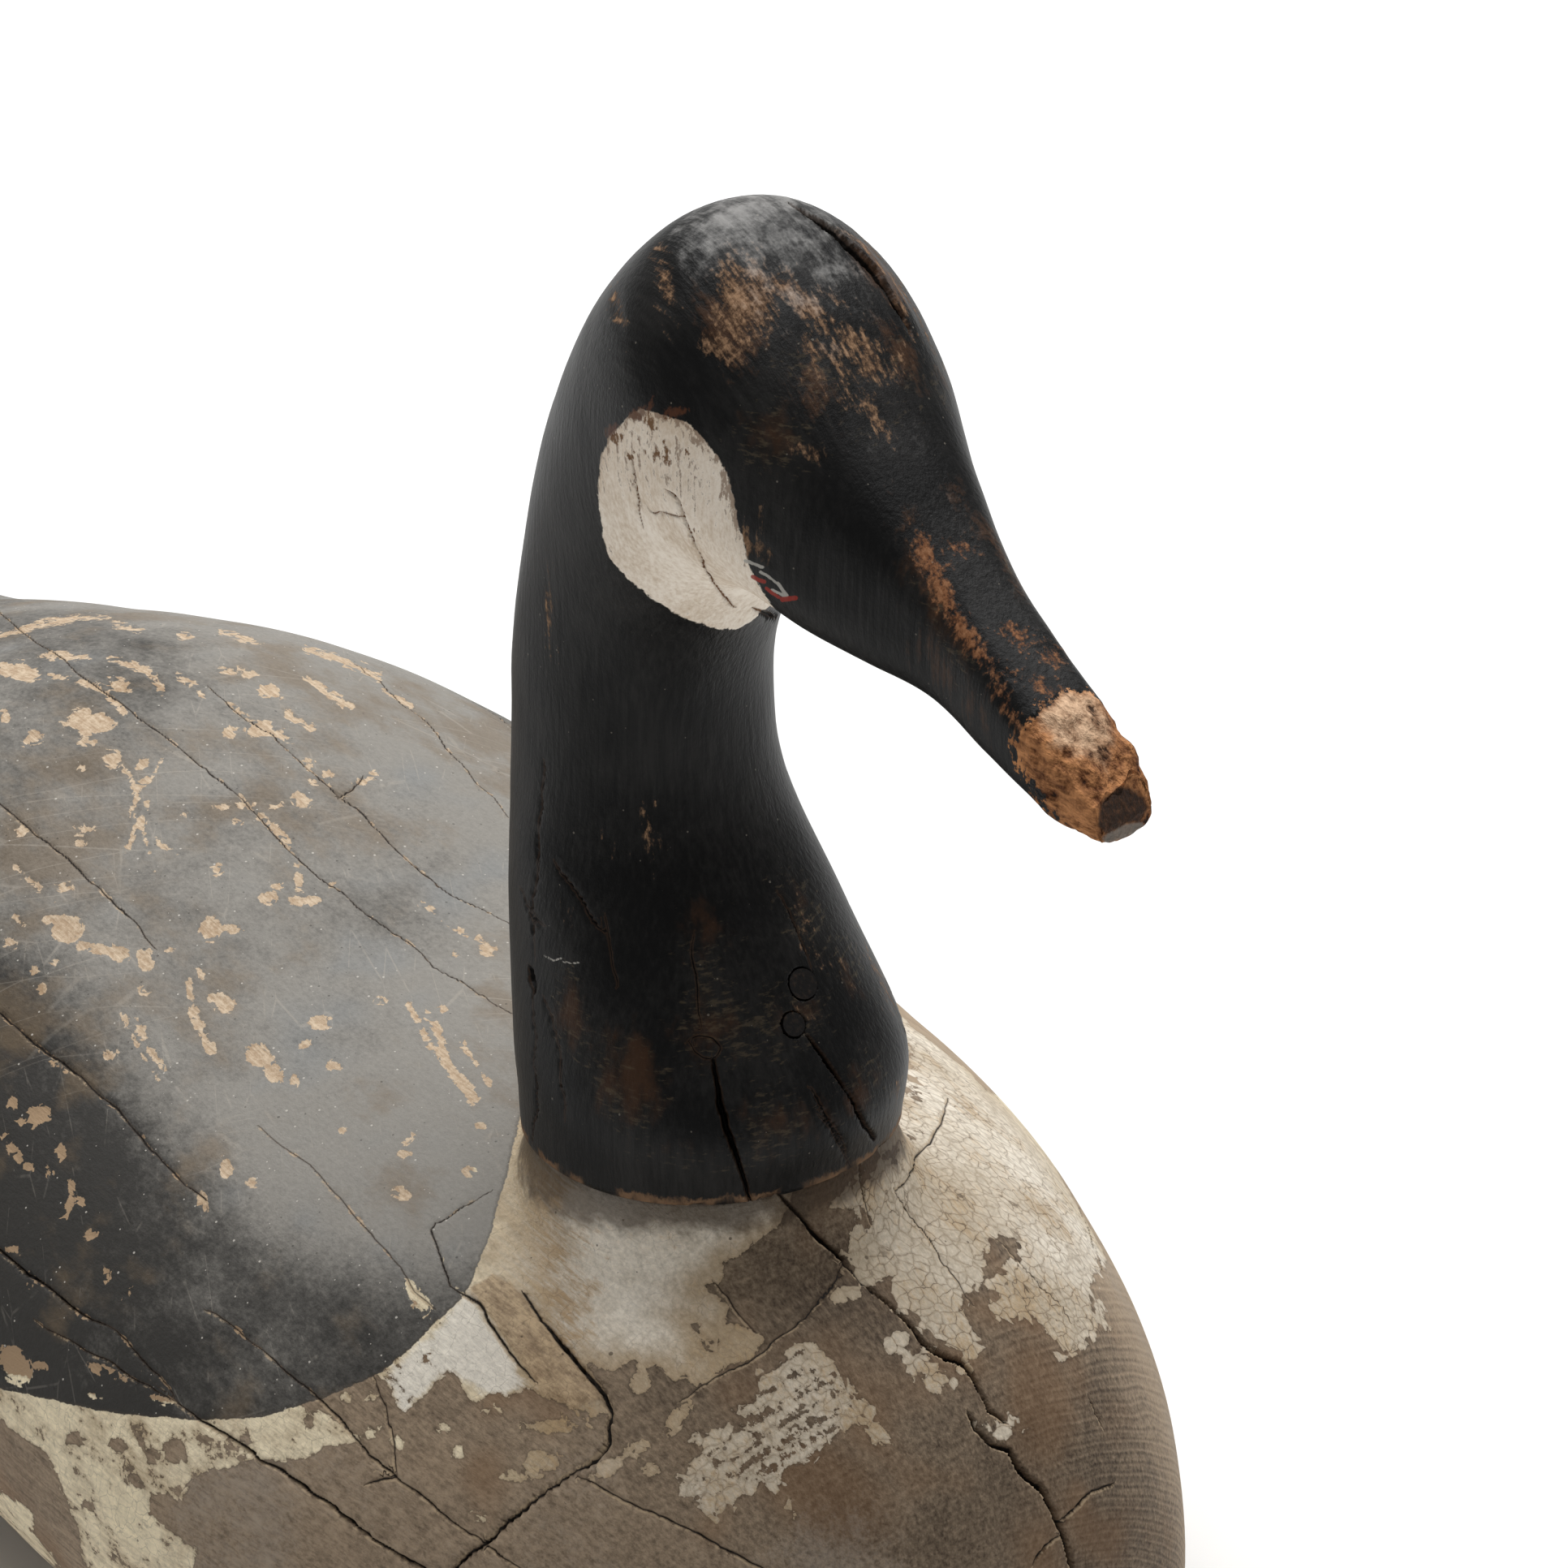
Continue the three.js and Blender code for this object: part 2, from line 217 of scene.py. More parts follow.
# %% The seat
def seat_height(x, y):
    """Height of the seat over each place in plan.

    The share out from the rim to the foot sets the fall: 1 - (1 - share) to a power, three
    behind and two in front, times a drop that is least behind, most in front. Past the foot
    it falls ever faster, so that it stays inside the body's steep shoulders. On the front
    left the rim is undercut by a bell curve of the angle.
    """
    angle = np.arctan2(y / NECK_WIDTH, (x - NECK_X) / NECK_DEPTH)
    front = (1 + np.cos(angle)) / 2
    off_undercut = (np.degrees(angle) - UNDERCUT_TURN) / UNDERCUT_SPREAD
    inset = UNDERCUT * np.exp(-off_undercut**2)
    rim_x = NECK_DEPTH / 2 - SEAT_INSET - inset
    rim_y = NECK_WIDTH / 2 - SEAT_INSET - inset
    rim = np.hypot(rim_x * np.cos(angle), rim_y * np.sin(angle))
    share = (np.hypot(x - NECK_X, y) - rim) / blend(REACH_BEHIND, REACH_IN_FRONT, front)
    inside = np.clip(share, 0, 1)
    drop = blend(blend(DROP_BEHIND, DROP_IN_FRONT, front), DROP_BESIDE, np.sin(angle) ** 2)
    fall = 1 - (1 - inside) ** blend(3.0, 2.0, front)
    past = np.clip(share - 1, 0, None)
    beyond = 40 * past + 120 * past**2
    level = NECK_Z + np.tan(NECK_RISE) * (x - NECK_X) - SEAT_GAP
    return level - drop * fall - beyond


# %% The body and its seat as one surface
def body_skin(u, v):
    """The body block at row u and at v, the share of the way round.

    Over the back: half breadth times the cosine sideways, crest times the sine upwards.
    Under the belt the same with the keel, on a bilge that turns down as far as the ground,
    over the flat bottom, and up the other bilge. Behind row 0 the section shrinks to its
    own middle and closes the tail.
    """
    along, breadth, crest, belt, keel = read_rows(BODY_SECTIONS, np.clip(u, 0, NOSE_ROW)).T
    half = breadth * BODY_WIDTH / 2
    belt = belt * BACK_HEIGHT
    upper = crest * BACK_HEIGHT - belt
    lower = np.maximum(belt - keel * BACK_HEIGHT, 1e-6)
    cut = np.clip(belt / lower, 0, 1) ** (KEEL_SQUARENESS / 2)
    stop = np.minimum(np.arcsin(cut), KEEL_LIMIT)
    v = v % 1.0
    right_end = BACK_SHARE + BILGE_SHARE
    spans = [v < right_end, v < right_end + FLAT_SHARE]
    right = stop * np.clip((v - BACK_SHARE) / BILGE_SHARE, 0, 1)
    left = stop * np.clip((1 - v) / BILGE_SHARE, 0, 1)
    side = np.select(spans, [-1, 2 * np.clip((v - right_end) / FLAT_SHARE, 0, 1) - 1], 1)
    down = np.select(spans, [right, stop], left)
    over = np.pi * np.clip(v / BACK_SHARE, 0, 1)
    on_back = v < BACK_SHARE
    y = np.where(on_back, half * rounded(np.cos(over), BACK_SQUARENESS),
                 half * rounded(np.cos(down), KEEL_SQUARENESS) * side)
    z = np.where(on_back, belt + upper * rounded(np.sin(over), BACK_SQUARENESS),
                 belt - lower * rounded(np.sin(down), KEEL_SQUARENESS))
    closing = np.clip(1 + u, 0, 1)
    y = y * closing
    z = belt + (z - belt) * closing
    x = along * BODY_LENGTH - FRAME_MIDDLE
    seat = seat_height(x, y)
    near = np.clip(1 - np.abs(z - seat) / SEAT_MELT, 0, None)
    raised = np.maximum(z, seat) + SEAT_MELT * near**2 / 4
    return np.stack([x, y, np.where(on_back & (seat > z - SEAT_MELT), raised, z)], axis=1)


# %% [markdown]
# ## The head and neck
#
# The second block starts as a round foot and rises in an S. Each section lies in the plane
# through one point on the nape and one on the throat. That lets the sections lean back up
# the neck, roll forward over the crown and stand nearly upright along the bill, which a
# stack of level slices could not do. Towards the bill the sections also get squarer.

# %% Sizes of the head and neck
CROWN_HEIGHT = 212.5
BILL_LENGTH = 137.0
HEAD_WIDTH = 64.6
BILL_WIDTH = 20.0
NECK_SQUARENESS = 2.1
BILL_SQUARENESS = 3.0
TIP_ROW = 14.0

# Shares of the sizes, foot to bill: nape x, nape z, throat x, throat z, half width.
HEAD_SECTIONS = np.array([
    [-0.309, 0.084, 0.299, 0.095, 1.217],
    [-0.346, 0.206, 0.182, 0.208, 1.053],
    [-0.369, 0.351, 0.054, 0.327, 0.864],
    [-0.358, 0.491, 0.023, 0.44, 0.82],
    [-0.312, 0.634, 0.058, 0.536, 0.827],
    [-0.222, 0.781, 0.13, 0.608, 0.907],
    [-0.089, 0.919, 0.213, 0.647, 0.981],
    [0.078, 1.0, 0.316, 0.657, 1.0],
    [0.266, 0.959, 0.417, 0.653, 0.836],
    [0.455, 0.862, 0.521, 0.652, 0.567],
])
BILL_SECTIONS = np.array([
    [0.629, 0.781, 0.628, 0.649, 1.21],
    [0.755, 0.737, 0.75, 0.627, 1.07],
    [0.889, 0.693, 0.889, 0.611, 1.0],
    [1.0, 0.645, 0.988, 0.617, 0.7],
])
foot_x = NECK_DEPTH / 2 * math.cos(NECK_RISE)
foot_z = NECK_DEPTH / 2 * math.sin(NECK_RISE)
long_sizes = [BILL_LENGTH, CROWN_HEIGHT, BILL_LENGTH, CROWN_HEIGHT]
HEAD_ROWS = np.vstack([
    [[-foot_x, -foot_z, foot_x, foot_z, NECK_WIDTH / 2]],
    HEAD_SECTIONS * (long_sizes + [HEAD_WIDTH / 2]),
    BILL_SECTIONS * (long_sizes + [BILL_WIDTH / 2]),
])


def head_skin(u, v):
    """The head block at row u and at v, the share of the way round from the throat.

    From the middle of nape and throat, the cosine runs towards the throat and the sine
    sideways. Before row 0 and past the last row the section shrinks to its own middle,
    which closes the foot and the end of the bill.
    """
    nape_x, nape_z, throat_x, throat_z, half = read_rows(HEAD_ROWS, np.clip(u, 0, TIP_ROW)).T
    square = blend(NECK_SQUARENESS, BILL_SQUARENESS, ease(8.0, 11.0, u))
    angle = 2 * np.pi * v
    closing = np.clip(1 + u, 0, 1) * np.clip(TIP_ROW + 1 - u, 0, 1)
    forward = rounded(np.cos(angle), square) * closing / 2
    x = NECK_X + (nape_x + throat_x) / 2 + (throat_x - nape_x) * forward
    z = NECK_Z + (nape_z + throat_z) / 2 + (throat_z - nape_z) * forward
    y = half * rounded(np.sin(angle), square) * closing
    return np.stack([x, y, z], axis=1)


print("neck stands at x", round(NECK_X, 1), "mm; bill reaches", round(NECK_X + BILL_LENGTH, 1))

# %% [markdown]
# ## A net that is fine only where the detail is
#
# A crack a millimetre wide needs triangles of half a millimetre, but a smooth flank needs
# none so small. So each skin starts as a coarse net of rows and columns, and every edge
# that is longer than the detail there can bear is halved. A face with one halved edge
# becomes two, with two it becomes three, with three it becomes four, so the net never
# tears. The new points lie on the true surface, because they are worked out from their own
# row and share, not from their neighbours.


# %% The coarse net
def coarse_net(rows, around):
    """Rows of evenly shared points, with a single point closing each end.

    Point number = 1 + row * around + step round; the first and last points are the poles.
    """
    v = np.arange(around) / around
    uv = np.stack([np.repeat(rows[1:-1], around), np.tile(v, len(rows) - 2)], axis=1)
    uv = np.vstack([[rows[0], 0.0], uv, [rows[-1], 0.0]])
    step = np.arange(around)
    after = (step + 1) % around
    start = 1 + np.arange(len(rows) - 3)[:, None] * around
    a, b = (start + step).ravel(), (start + after).ravel()
    last = 1 + (len(rows) - 3) * around
    faces = np.vstack([
        np.stack([a, b, b + around], axis=1),
        np.stack([a, b + around, a + around], axis=1),
        np.stack([np.zeros_like(step), 1 + after, 1 + step], axis=1),
        np.stack([np.full_like(step, len(uv) - 1), last + step, last + after], axis=1),
    ])
    return uv, faces


# %% Halving the edges that are too long
LONGEST = 1.4
HALVINGS = 6
COARSEST = 9.0


def halfway(a, b):
    """The middle of two places on the skin, taking the short way round in v."""
    turn = b[:, 1] - a[:, 1]
    turn = turn - np.round(turn)
    return np.stack([(a[:, 0] + b[:, 0]) / 2, (a[:, 1] + turn / 2) % 1.0], axis=1)


def split_faces(faces, middles):
    """Cuts each face along its halved edges; a middle of -1 is an edge left whole."""
    halved = middles >= 0
    number = halved.sum(axis=1)
    made = [faces[number == 0]]
    for turn in range(3):
        a, b, c = np.roll(faces, -turn, axis=1).T
        ab, bc, _ = np.roll(middles, -turn, axis=1).T
        first = np.roll(halved, -turn, axis=1)
        one = (number == 1) & first[:, 0]
        two = (number == 2) & first[:, 0] & first[:, 1]
        for corners, chosen in [((a, ab, c), one), ((ab, b, c), one), ((ab, b, bc), two),
                                ((a, ab, bc), two), ((a, bc, c), two)]:
            made.append(np.stack(corners, axis=1)[chosen])
    a, b, c = faces[number == 3].T
    ab, bc, ca = middles[number == 3].T
    made += [np.stack(corners, axis=1) for corners in
             ((a, ab, ca), (ab, b, bc), (ca, bc, c), (ab, bc, ca))]
    return np.vstack(made)


def fine_net(rows, around, skin, wanted):
    """A net with each edge halved that is over 1.4 times the mean length wanted at its ends."""
    uv, faces = coarse_net(rows, around)
    points = skin(uv[:, 0], uv[:, 1])
    asked = wanted(points)
    asked[[0, -1]] = 1e3
    for _ in range(HALVINGS):
        count = len(uv)
        ends = np.sort(faces[:, [0, 1, 1, 2, 2, 0]].reshape(-1, 2), axis=1)
        keys, which = np.unique(ends[:, 0] * count + ends[:, 1], return_inverse=True)
        a, b = keys // count, keys % count
        length = np.linalg.norm(points[a] - points[b], axis=1)
        marked = length > LONGEST * (asked[a] + asked[b]) / 2
        if not marked.any():
            break
        new = np.full(len(keys), -1)
        new[marked] = count + np.arange(marked.sum())
        middles = halfway(uv[a[marked]], uv[b[marked]])
        places = skin(middles[:, 0], middles[:, 1])
        uv = np.vstack([uv, middles])
        points = np.vstack([points, places])
        asked = np.append(asked, wanted(places))
        faces = split_faces(faces, new[which].reshape(-1, 3))
    return uv, faces


def outward(points, faces):
    """The direction each point of a net faces: the sum of its faces' cross products."""
    a, b, c = (points[faces[:, k]] for k in range(3))
    across = np.cross(b - a, c - a)
    total = np.zeros_like(points)
    for k in range(3):
        for axis in range(3):
            total[:, axis] += np.bincount(faces[:, k], across[:, axis], len(points))
    return total / np.maximum(np.linalg.norm(total, axis=1, keepdims=True), 1e-12)


# %% [markdown]
# ## Cracks, and how a mark is carried onto the wood
#
# A crack is given as a few places in the photograph. It is first roughened, by nudging the
# middle of each stretch to one side again and again, the way a mapmaker fakes a coastline.
# Then each of its places is dropped onto the skin: the nearest point that faces the camera
# is found, and a few steps of Newton's method slide it until it falls on the right pixel.
# The result is a line in space, so the crack has its true width from every side.

# %% Dropping places of the photograph onto a skin
PLACES_AROUND = 240
NEWTON_STEPS = 5


def turned(a, b):
    """The flat cross product of rows of two numbers."""
    return a[:, 0] * b[:, 1] - a[:, 1] * b[:, 0]


def on_skin(skin, rows, pixels):
    """Points of the skin that fall on these pixels, on the side that faces the camera.

    From the nearest of a grid of points, Newton's method solves miss = along du + across dv.
    """
    round_grid = np.arange(PLACES_AROUND) / PLACES_AROUND
    u, v = (part.ravel() for part in np.meshgrid(rows, round_grid, indexing="ij"))
    points = skin(u, v)
    step = 1e-3
    facing = np.cross(skin(u, v + step) - points, skin(u + step, v) - points)
    seen = facing @ towards_camera > 0
    gap = ((pixels[:, None, :] - photo_pixels(points[seen])[None, :, :]) ** 2).sum(axis=2)
    nearest = gap.argmin(axis=1)
    u, v = u[seen][nearest], v[seen][nearest]
    for _ in range(NEWTON_STEPS):
        here = photo_pixels(skin(u, v))
        along = (photo_pixels(skin(u + step, v)) - here) / step
        across = (photo_pixels(skin(u, v + step)) - here) / step
        miss = pixels - here
        area = turned(along, across)
        area = np.where(np.abs(area) < 1e3, 1e3, area)
        u = u + np.clip(turned(miss, across) / area, -0.2, 0.2)
        v = v + np.clip(turned(along, miss) / area, -0.01, 0.01)
    return skin(u, v)


def roughened(places, rng, wander=0.035, rounds=3):
    """A line with the middle of each stretch nudged sideways by a share of its length."""
    line = np.array(places, float)
    for _ in range(rounds):
        a, b = line[:-1], line[1:]
        side = np.stack([-(b - a)[:, 1], (b - a)[:, 0]], axis=1)
        middle = (a + b) / 2 + side * rng.normal(0, wander, (len(a), 1))
        line = np.insert(line, np.arange(1, len(line)), middle, axis=0)
    return line


# %% Distance from a line, and from a side of an outline
def within(points, line, reach):
    """Numbers of the points inside the box of a line, widened by the reach."""
    low, high = line.min(axis=0) - reach, line.max(axis=0) + reach
    return np.flatnonzero(((points > low) & (points < high)).all(axis=1))


def off_stretch(points, a, b):
    """The share along a straight stretch where each point is nearest, and the way from there.

    The nearest place is the point's shadow on the stretch, held between its ends.
    """
    stretch = b - a
    share = np.clip((points - a) @ stretch / max(stretch @ stretch, 1e-9), 0, 1)
    return share, points - a - share[:, None] * stretch


def line_gap(points, line, reach, out=None):
    """Distance of each point from a line of short stretches, the share along it, and the side.

    Points further off than the reach are given twice the reach. The side is 1 or -1, by
    the stretch crossed with the skin's own direction, where that is given.
    """
    gap = np.full(len(points), 2.0 * reach)
    share = np.zeros(len(points))
    side = np.ones(len(points))
    close = within(points, line, reach)
    if len(close) == 0:
        return gap, share, side
    near = points[close]
    best = np.full(len(close), np.inf)
    spot = np.zeros(len(close))
    hand = np.ones(len(close))
    for k, (a, b) in enumerate(zip(line[:-1], line[1:])):
        t, offset = off_stretch(near, a, b)
        far = np.linalg.norm(offset, axis=1)
        nearer = far < best
        best = np.where(nearer, far, best)
        spot = np.where(nearer, (k + t) / (len(line) - 1), spot)
        if out is not None:
            turn = (offset * np.cross(b - a, out[close])).sum(axis=1)
            hand = np.where(nearer, np.where(turn < 0, -1.0, 1.0), hand)
    gap[close] = np.minimum(best, 2.0 * reach)
    share[close] = spot
    side[close] = hand
    return gap, share, side


# %% Areas of the photograph: outlines, spots and strokes
PIXELS_PER_MM = 6.2
FAR_OUT = -20.0
STROKE_REACH = 60.0


def outline_depth(pixels, outline, reach=80.0):
    """Depth inside a closed outline in millimetres, negative outside.

    The distance to the nearest side, with its sign from how often a level ray crosses the
    outline. Pixels further off than the reach keep minus the reach.
    """
    corners = np.array(outline, float)
    depth = np.full(len(pixels), -reach)
    close = within(pixels, corners, reach)
    spot = pixels[close]
    best = np.full(len(close), np.inf)
    inside = np.zeros(len(close), bool)
    for a, b in zip(corners, np.roll(corners, -1, axis=0)):
        best = np.minimum(best, np.linalg.norm(off_stretch(spot, a, b)[1], axis=1))
        straddles = (a[1] > spot[:, 1]) != (b[1] > spot[:, 1])
        rise = b[1] - a[1] or 1e-9
        inside ^= straddles & (spot[:, 0] < a[0] + (spot[:, 1] - a[1]) / rise * (b[0] - a[0]))
    depth[close] = np.where(inside, best, -np.minimum(best, reach))
    return depth / PIXELS_PER_MM


def spot_depth(pixels, spots):
    """Depth in millimetres inside the nearest of some oval spots, negative outside.

    Each spot is a column, a row, half a length, half a breadth, and the angle of its length
    clockwise from level. One minus the oval's own radius is scaled by half the breadth.
    """
    depth = np.full(len(pixels), FAR_OUT)
    for column, row, half_length, half_breadth, angle in spots:
        turn = math.radians(angle)
        across = pixels - (column, row)
        along = across @ (math.cos(turn), math.sin(turn)) / half_length
        beside = across @ (-math.sin(turn), math.cos(turn)) / half_breadth
        inside = 1 - np.hypot(along, beside)
        depth = np.maximum(depth, inside * half_breadth / PIXELS_PER_MM)
    return depth


def stroke_depth(pixels, strokes):
    """Depth in millimetres inside lines of paint: half the line's width less the distance."""
    depth = np.full(len(pixels), FAR_OUT)
    for width, places in strokes:
        gap, _, _ = line_gap(pixels, np.array(places, float), STROKE_REACH)
        depth = np.maximum(depth, (width / 2 - gap) / PIXELS_PER_MM)
    return depth


# %% Reading an area of the photograph from the skin
def folded(points):
    """Each point, or its reflection in the middle plane where it is on the far side."""
    return np.column_stack([points[:, 0], -np.abs(points[:, 1]), points[:, 2]])


def near_side(points, measure, *area):
    """A measure read at the pixel of each point folded onto the goose's right side."""
    return measure(photo_pixels(folded(points)), *area)


def two_sided(points, normals, measure, *area):
    """A measure read at each point's own pixel where the camera sees it, else at its mirror's.

    The far side was painted and worn like the near one, so a point there borrows the pixel
    of its reflection in the middle plane; a soft step on how squarely the skin faces the
    camera joins the two.
    """
    seen = ease(-0.02, 0.18, normals @ towards_camera)
    seen = np.where(points[:, 1] < 0, 1.0, seen)
    return blend(near_side(points, measure, *area), measure(photo_pixels(points), *area), seen)


# %% Smooth noise, for hand-cut hollows and ragged edges
def lumps(points, size, seed):
    """Noise from -1 to 1: random values on a cubic lattice, blended by 3t2 - 2t3."""
    values = np.random.default_rng(seed).uniform(-1, 1, (32, 32, 32))
    place = points / size
    cell = np.floor(place).astype(int)
    t = place - cell
    t = t * t * (3 - 2 * t)
    total = np.zeros(len(points))
    for corner in np.ndindex(2, 2, 2):
        share = np.prod(np.where(corner, t, 1 - t), axis=1)
        x, y, z = ((cell + corner) % 32).T
        total += share * values[x, y, z]
    return total


def cloudy_marks(points):
    """Two soft clouds for the finishes: a broad one and a smaller one, from about -1 to 1."""
    broad = lumps(points, 36.0, 41) + 0.5 * lumps(points, 16.0, 42)
    cloud = 0.9 * lumps(points, 13.0, 43) + 0.6 * lumps(points, 7.0, 44)
    return {"broad": broad, "cloud": cloud}


# %% [markdown]
# ## The body's scars
#
# A log shrinks as it dries, and it shrinks most round its rings, so it opens in long checks
# that follow the grain. Here the grain runs from tail to breast. Each crack below has a
# width and a depth in millimetres and a few places in the photograph. The cracks that leave
# the picture are carried on towards the tail, and two are repeated on the far flank,
# which the picture hides, with a new random roughness so that the sides differ.

# %% Cracks of the body
BODY_CRACKS = [
    (0.30, 0.8, [(-260, 800), (-120, 890), (0, 988), (40, 1023), (73, 1047), (107, 1080),
                 (143, 1113), (167, 1133), (190, 1165)]),
    (0.28, 0.7, [(-150, 640), (-40, 718), (77, 808), (123, 847), (160, 873), (200, 903),
                 (237, 933), (280, 967), (313, 997), (347, 1033), (373, 1060), (427, 1100),
                 (467, 1133), (533, 1187), (587, 1220), (630, 1245)]),
    (0.30, 0.8, [(257, 843), (287, 870), (320, 893), (353, 920), (380, 943), (419, 978),
                 (467, 1020), (507, 1060), (553, 1097), (587, 1113), (640, 1145)]),
    (0.35, 0.8, [(418, 978), (434, 968), (447, 953)]),
    (0.18, 0.4, [(440, 815), (467, 833), (500, 868), (547, 913), (590, 962), (626, 1003)]),
    (0.42, 1.2, [(-300, 1010), (-140, 1140), (0, 1247), (40, 1283), (97, 1323), (140, 1360),
                 (173, 1400), (207, 1437), (252, 1476)]),
    (0.42, 1.6, [(-320, 1290), (-140, 1430), (0, 1543), (60, 1588), (130, 1632)]),
    (0.20, 0.6, [(130, 1632), (153, 1650), (185, 1688), (218, 1730)]),
    (0.36, 1.6, [(218, 1730), (273, 1765), (367, 1827), (450, 1890), (520, 1932), (600, 1990)]),
    (0.22, 0.6, [(40, 1626), (100, 1662), (160, 1697), (218, 1730)]),
    (0.28, 0.9, [(253, 1613), (330, 1670), (373, 1706), (427, 1760), (487, 1820), (540, 1862),
                 (600, 1905), (660, 1950)]),
    (0.22, 0.6, [(460, 1697), (472, 1727), (477, 1753), (488, 1817)]),
    (0.72, 3.0, [(645, 1592), (665, 1625), (690, 1655), (720, 1690), (742, 1715),
                 (752, 1738), (750, 1778), (735, 1797), (712, 1810)]),
    (0.50, 2.2, [(712, 1810), (690, 1825), (655, 1850), (610, 1890), (585, 1910),
                 (560, 1932), (520, 1970)]),
    (0.40, 1.1, [(560, 1587), (590, 1605), (610, 1640), (635, 1675), (660, 1703)]),
    (0.28, 0.7, [(604, 1467), (585, 1478), (560, 1493), (535, 1507), (530, 1514), (538, 1535),
                 (546, 1562), (553, 1582), (562, 1588)]),
    (0.28, 0.8, [(840, 1724), (876, 1700), (924, 1676), (954, 1649), (984, 1628),
                 (1020, 1592), (1041, 1556)]),
    (0.30, 0.8, [(714, 1820), (738, 1832), (780, 1853), (822, 1871), (876, 1898),
                 (930, 1928), (990, 1965)]),
    (0.95, 3.6, [(960, 1470), (987, 1499), (1020, 1535), (1044, 1559)]),
    (0.35, 1.0, [(1044, 1559), (1060, 1577), (1076, 1593)]),
    (0.90, 3.4, [(1070, 1585), (1098, 1608), (1119, 1628), (1135, 1650), (1160, 1668),
                 (1187, 1678), (1208, 1711), (1220, 1737), (1240, 1751)]),
    (1.05, 4.0, [(1195, 1742), (1203, 1759), (1224, 1780), (1246, 1786), (1258, 1810),
                 (1284, 1833), (1298, 1859), (1306, 1880), (1318, 1911), (1325, 1940),
                 (1330, 1990)]),
    (0.40, 1.0, [(1308, 1873), (1330, 1856), (1346, 1838), (1374, 1828)]),
    (0.28, 0.8, [(1170, 1351), (1160, 1385), (1147, 1407), (1130, 1425), (1120, 1452),
                 (1104, 1467)]),
    (0.24, 0.6, [(1104, 1470), (1125, 1500), (1148, 1529), (1172, 1564), (1200, 1606)]),
    (0.20, 0.5, [(1320, 1470), (1339, 1503), (1349, 1538), (1360, 1565)]),
    (0.22, 0.6, [(1225, 1522), (1250, 1545), (1280, 1575), (1310, 1603), (1322, 1625)]),
    (0.20, 0.5, [(880, 1580), (905, 1612), (930, 1640)]),
    (0.35, 0.8, [(452, 1828), (470, 1822), (487, 1820)]),
    (0.12, 0.3, [(318, 1385), (433, 1493), (493, 1560), (535, 1612)]),
    (0.25, 0.7, [(1345, 1720), (1352, 1735), (1361, 1755)]),
    (0.30, 0.8, [(1275, 1925), (1290, 1905), (1308, 1893)]),
    (0.18, 0.5, [(1040, 1330), (1060, 1450), (1072, 1505)]),
    (0.25, 0.6, [(1005, 1605), (1020, 1588), (1038, 1570)]),
]
REPEATED_BEHIND = [5, 6]

rng = np.random.default_rng(7)


def crack_lines(skin, rows, cracks, repeated=()):
    """Each crack as a line in space with its width and depth, ready to be cut."""
    paths = [roughened(places, rng) for _, _, places in cracks]
    paths += [roughened(cracks[k][2], rng) for k in repeated]
    sizes = [crack[:2] for crack in cracks] + [cracks[k][:2] for k in repeated]
    points = on_skin(skin, rows, np.vstack(paths))
    ends = np.cumsum([len(path) for path in paths])[:-1]
    lines = np.split(points, ends)
    flip = [(1, 1, 1)] * len(cracks) + [(1, -1, 1)] * len(repeated)
    return [(w, d, line * way) for (w, d), line, way in zip(sizes, lines, flip)]


body_lines = crack_lines(body_skin, np.linspace(0.1, 12.9, 200), BODY_CRACKS, REPEATED_BEHIND)
print(len(body_lines), "cracks laid on the body")

# %% How deep a set of cracks cuts at each point
CRACK_REACH = 6.0
WIDE_CRACK = 0.8


def crack_cut(points, out, lines):
    """How far each point sinks, and the marks of the nearest crack.

    The cut is the crack's depth times a V of the distance. A crack is widest at its middle,
    runs out at its ends and wavers on the way. The marks are the distance past its lip,
    the distance across it with a sign for the side, and half its width there.
    """
    sink = np.zeros(len(points))
    past_lip, across, half_width = np.full((3, len(points)), CRACK_REACH)
    waver = 1 + 0.35 * lumps(points, 5.0, 3)
    for width, depth, line in lines:
        gap, share, side = line_gap(points, line, CRACK_REACH, out)
        swell = (0.3 + 0.7 * np.sin(np.pi * np.clip(share, 0.02, 0.98)) ** 0.5) * waver
        half = width * swell / 2
        nearer = gap - half < past_lip
        past_lip = np.where(nearer, gap - half, past_lip)
        across = np.where(nearer, gap * side, across)
        half_width = np.where(nearer, half, half_width)
        sink = np.maximum(sink, depth * swell * np.clip(1 - gap / (half + 0.2), 0, 1) ** 0.8)
    return sink, {"crack_gap": past_lip, "crack_side": across, "crack_half": half_width}


def crack_detail(points, lines):
    """The length of edge that the nearest crack asks for, finer beside a wide one."""
    asked = np.full(len(points), COARSEST)
    for width, _, line in lines:
        gap, _, _ = line_gap(points, line, CRACK_REACH)
        finest = 0.44 if width > WIDE_CRACK else 0.75
        asked = np.minimum(asked, finest + 0.75 * np.clip(gap - width / 2 - 0.4, 0, None))
    return asked


# %% [markdown]
# ## Where each coat of paint still is
#
# The body has three coats: charcoal on the back, cream below and in front, and bare wood
# where the cream has let go. A coat's edge is stored at every point of the mesh as a depth
# in millimetres, positive inside the coat. Depths blend smoothly between points, so a
# finish can cut the coat off with fine noise and get an edge far sharper than the mesh.

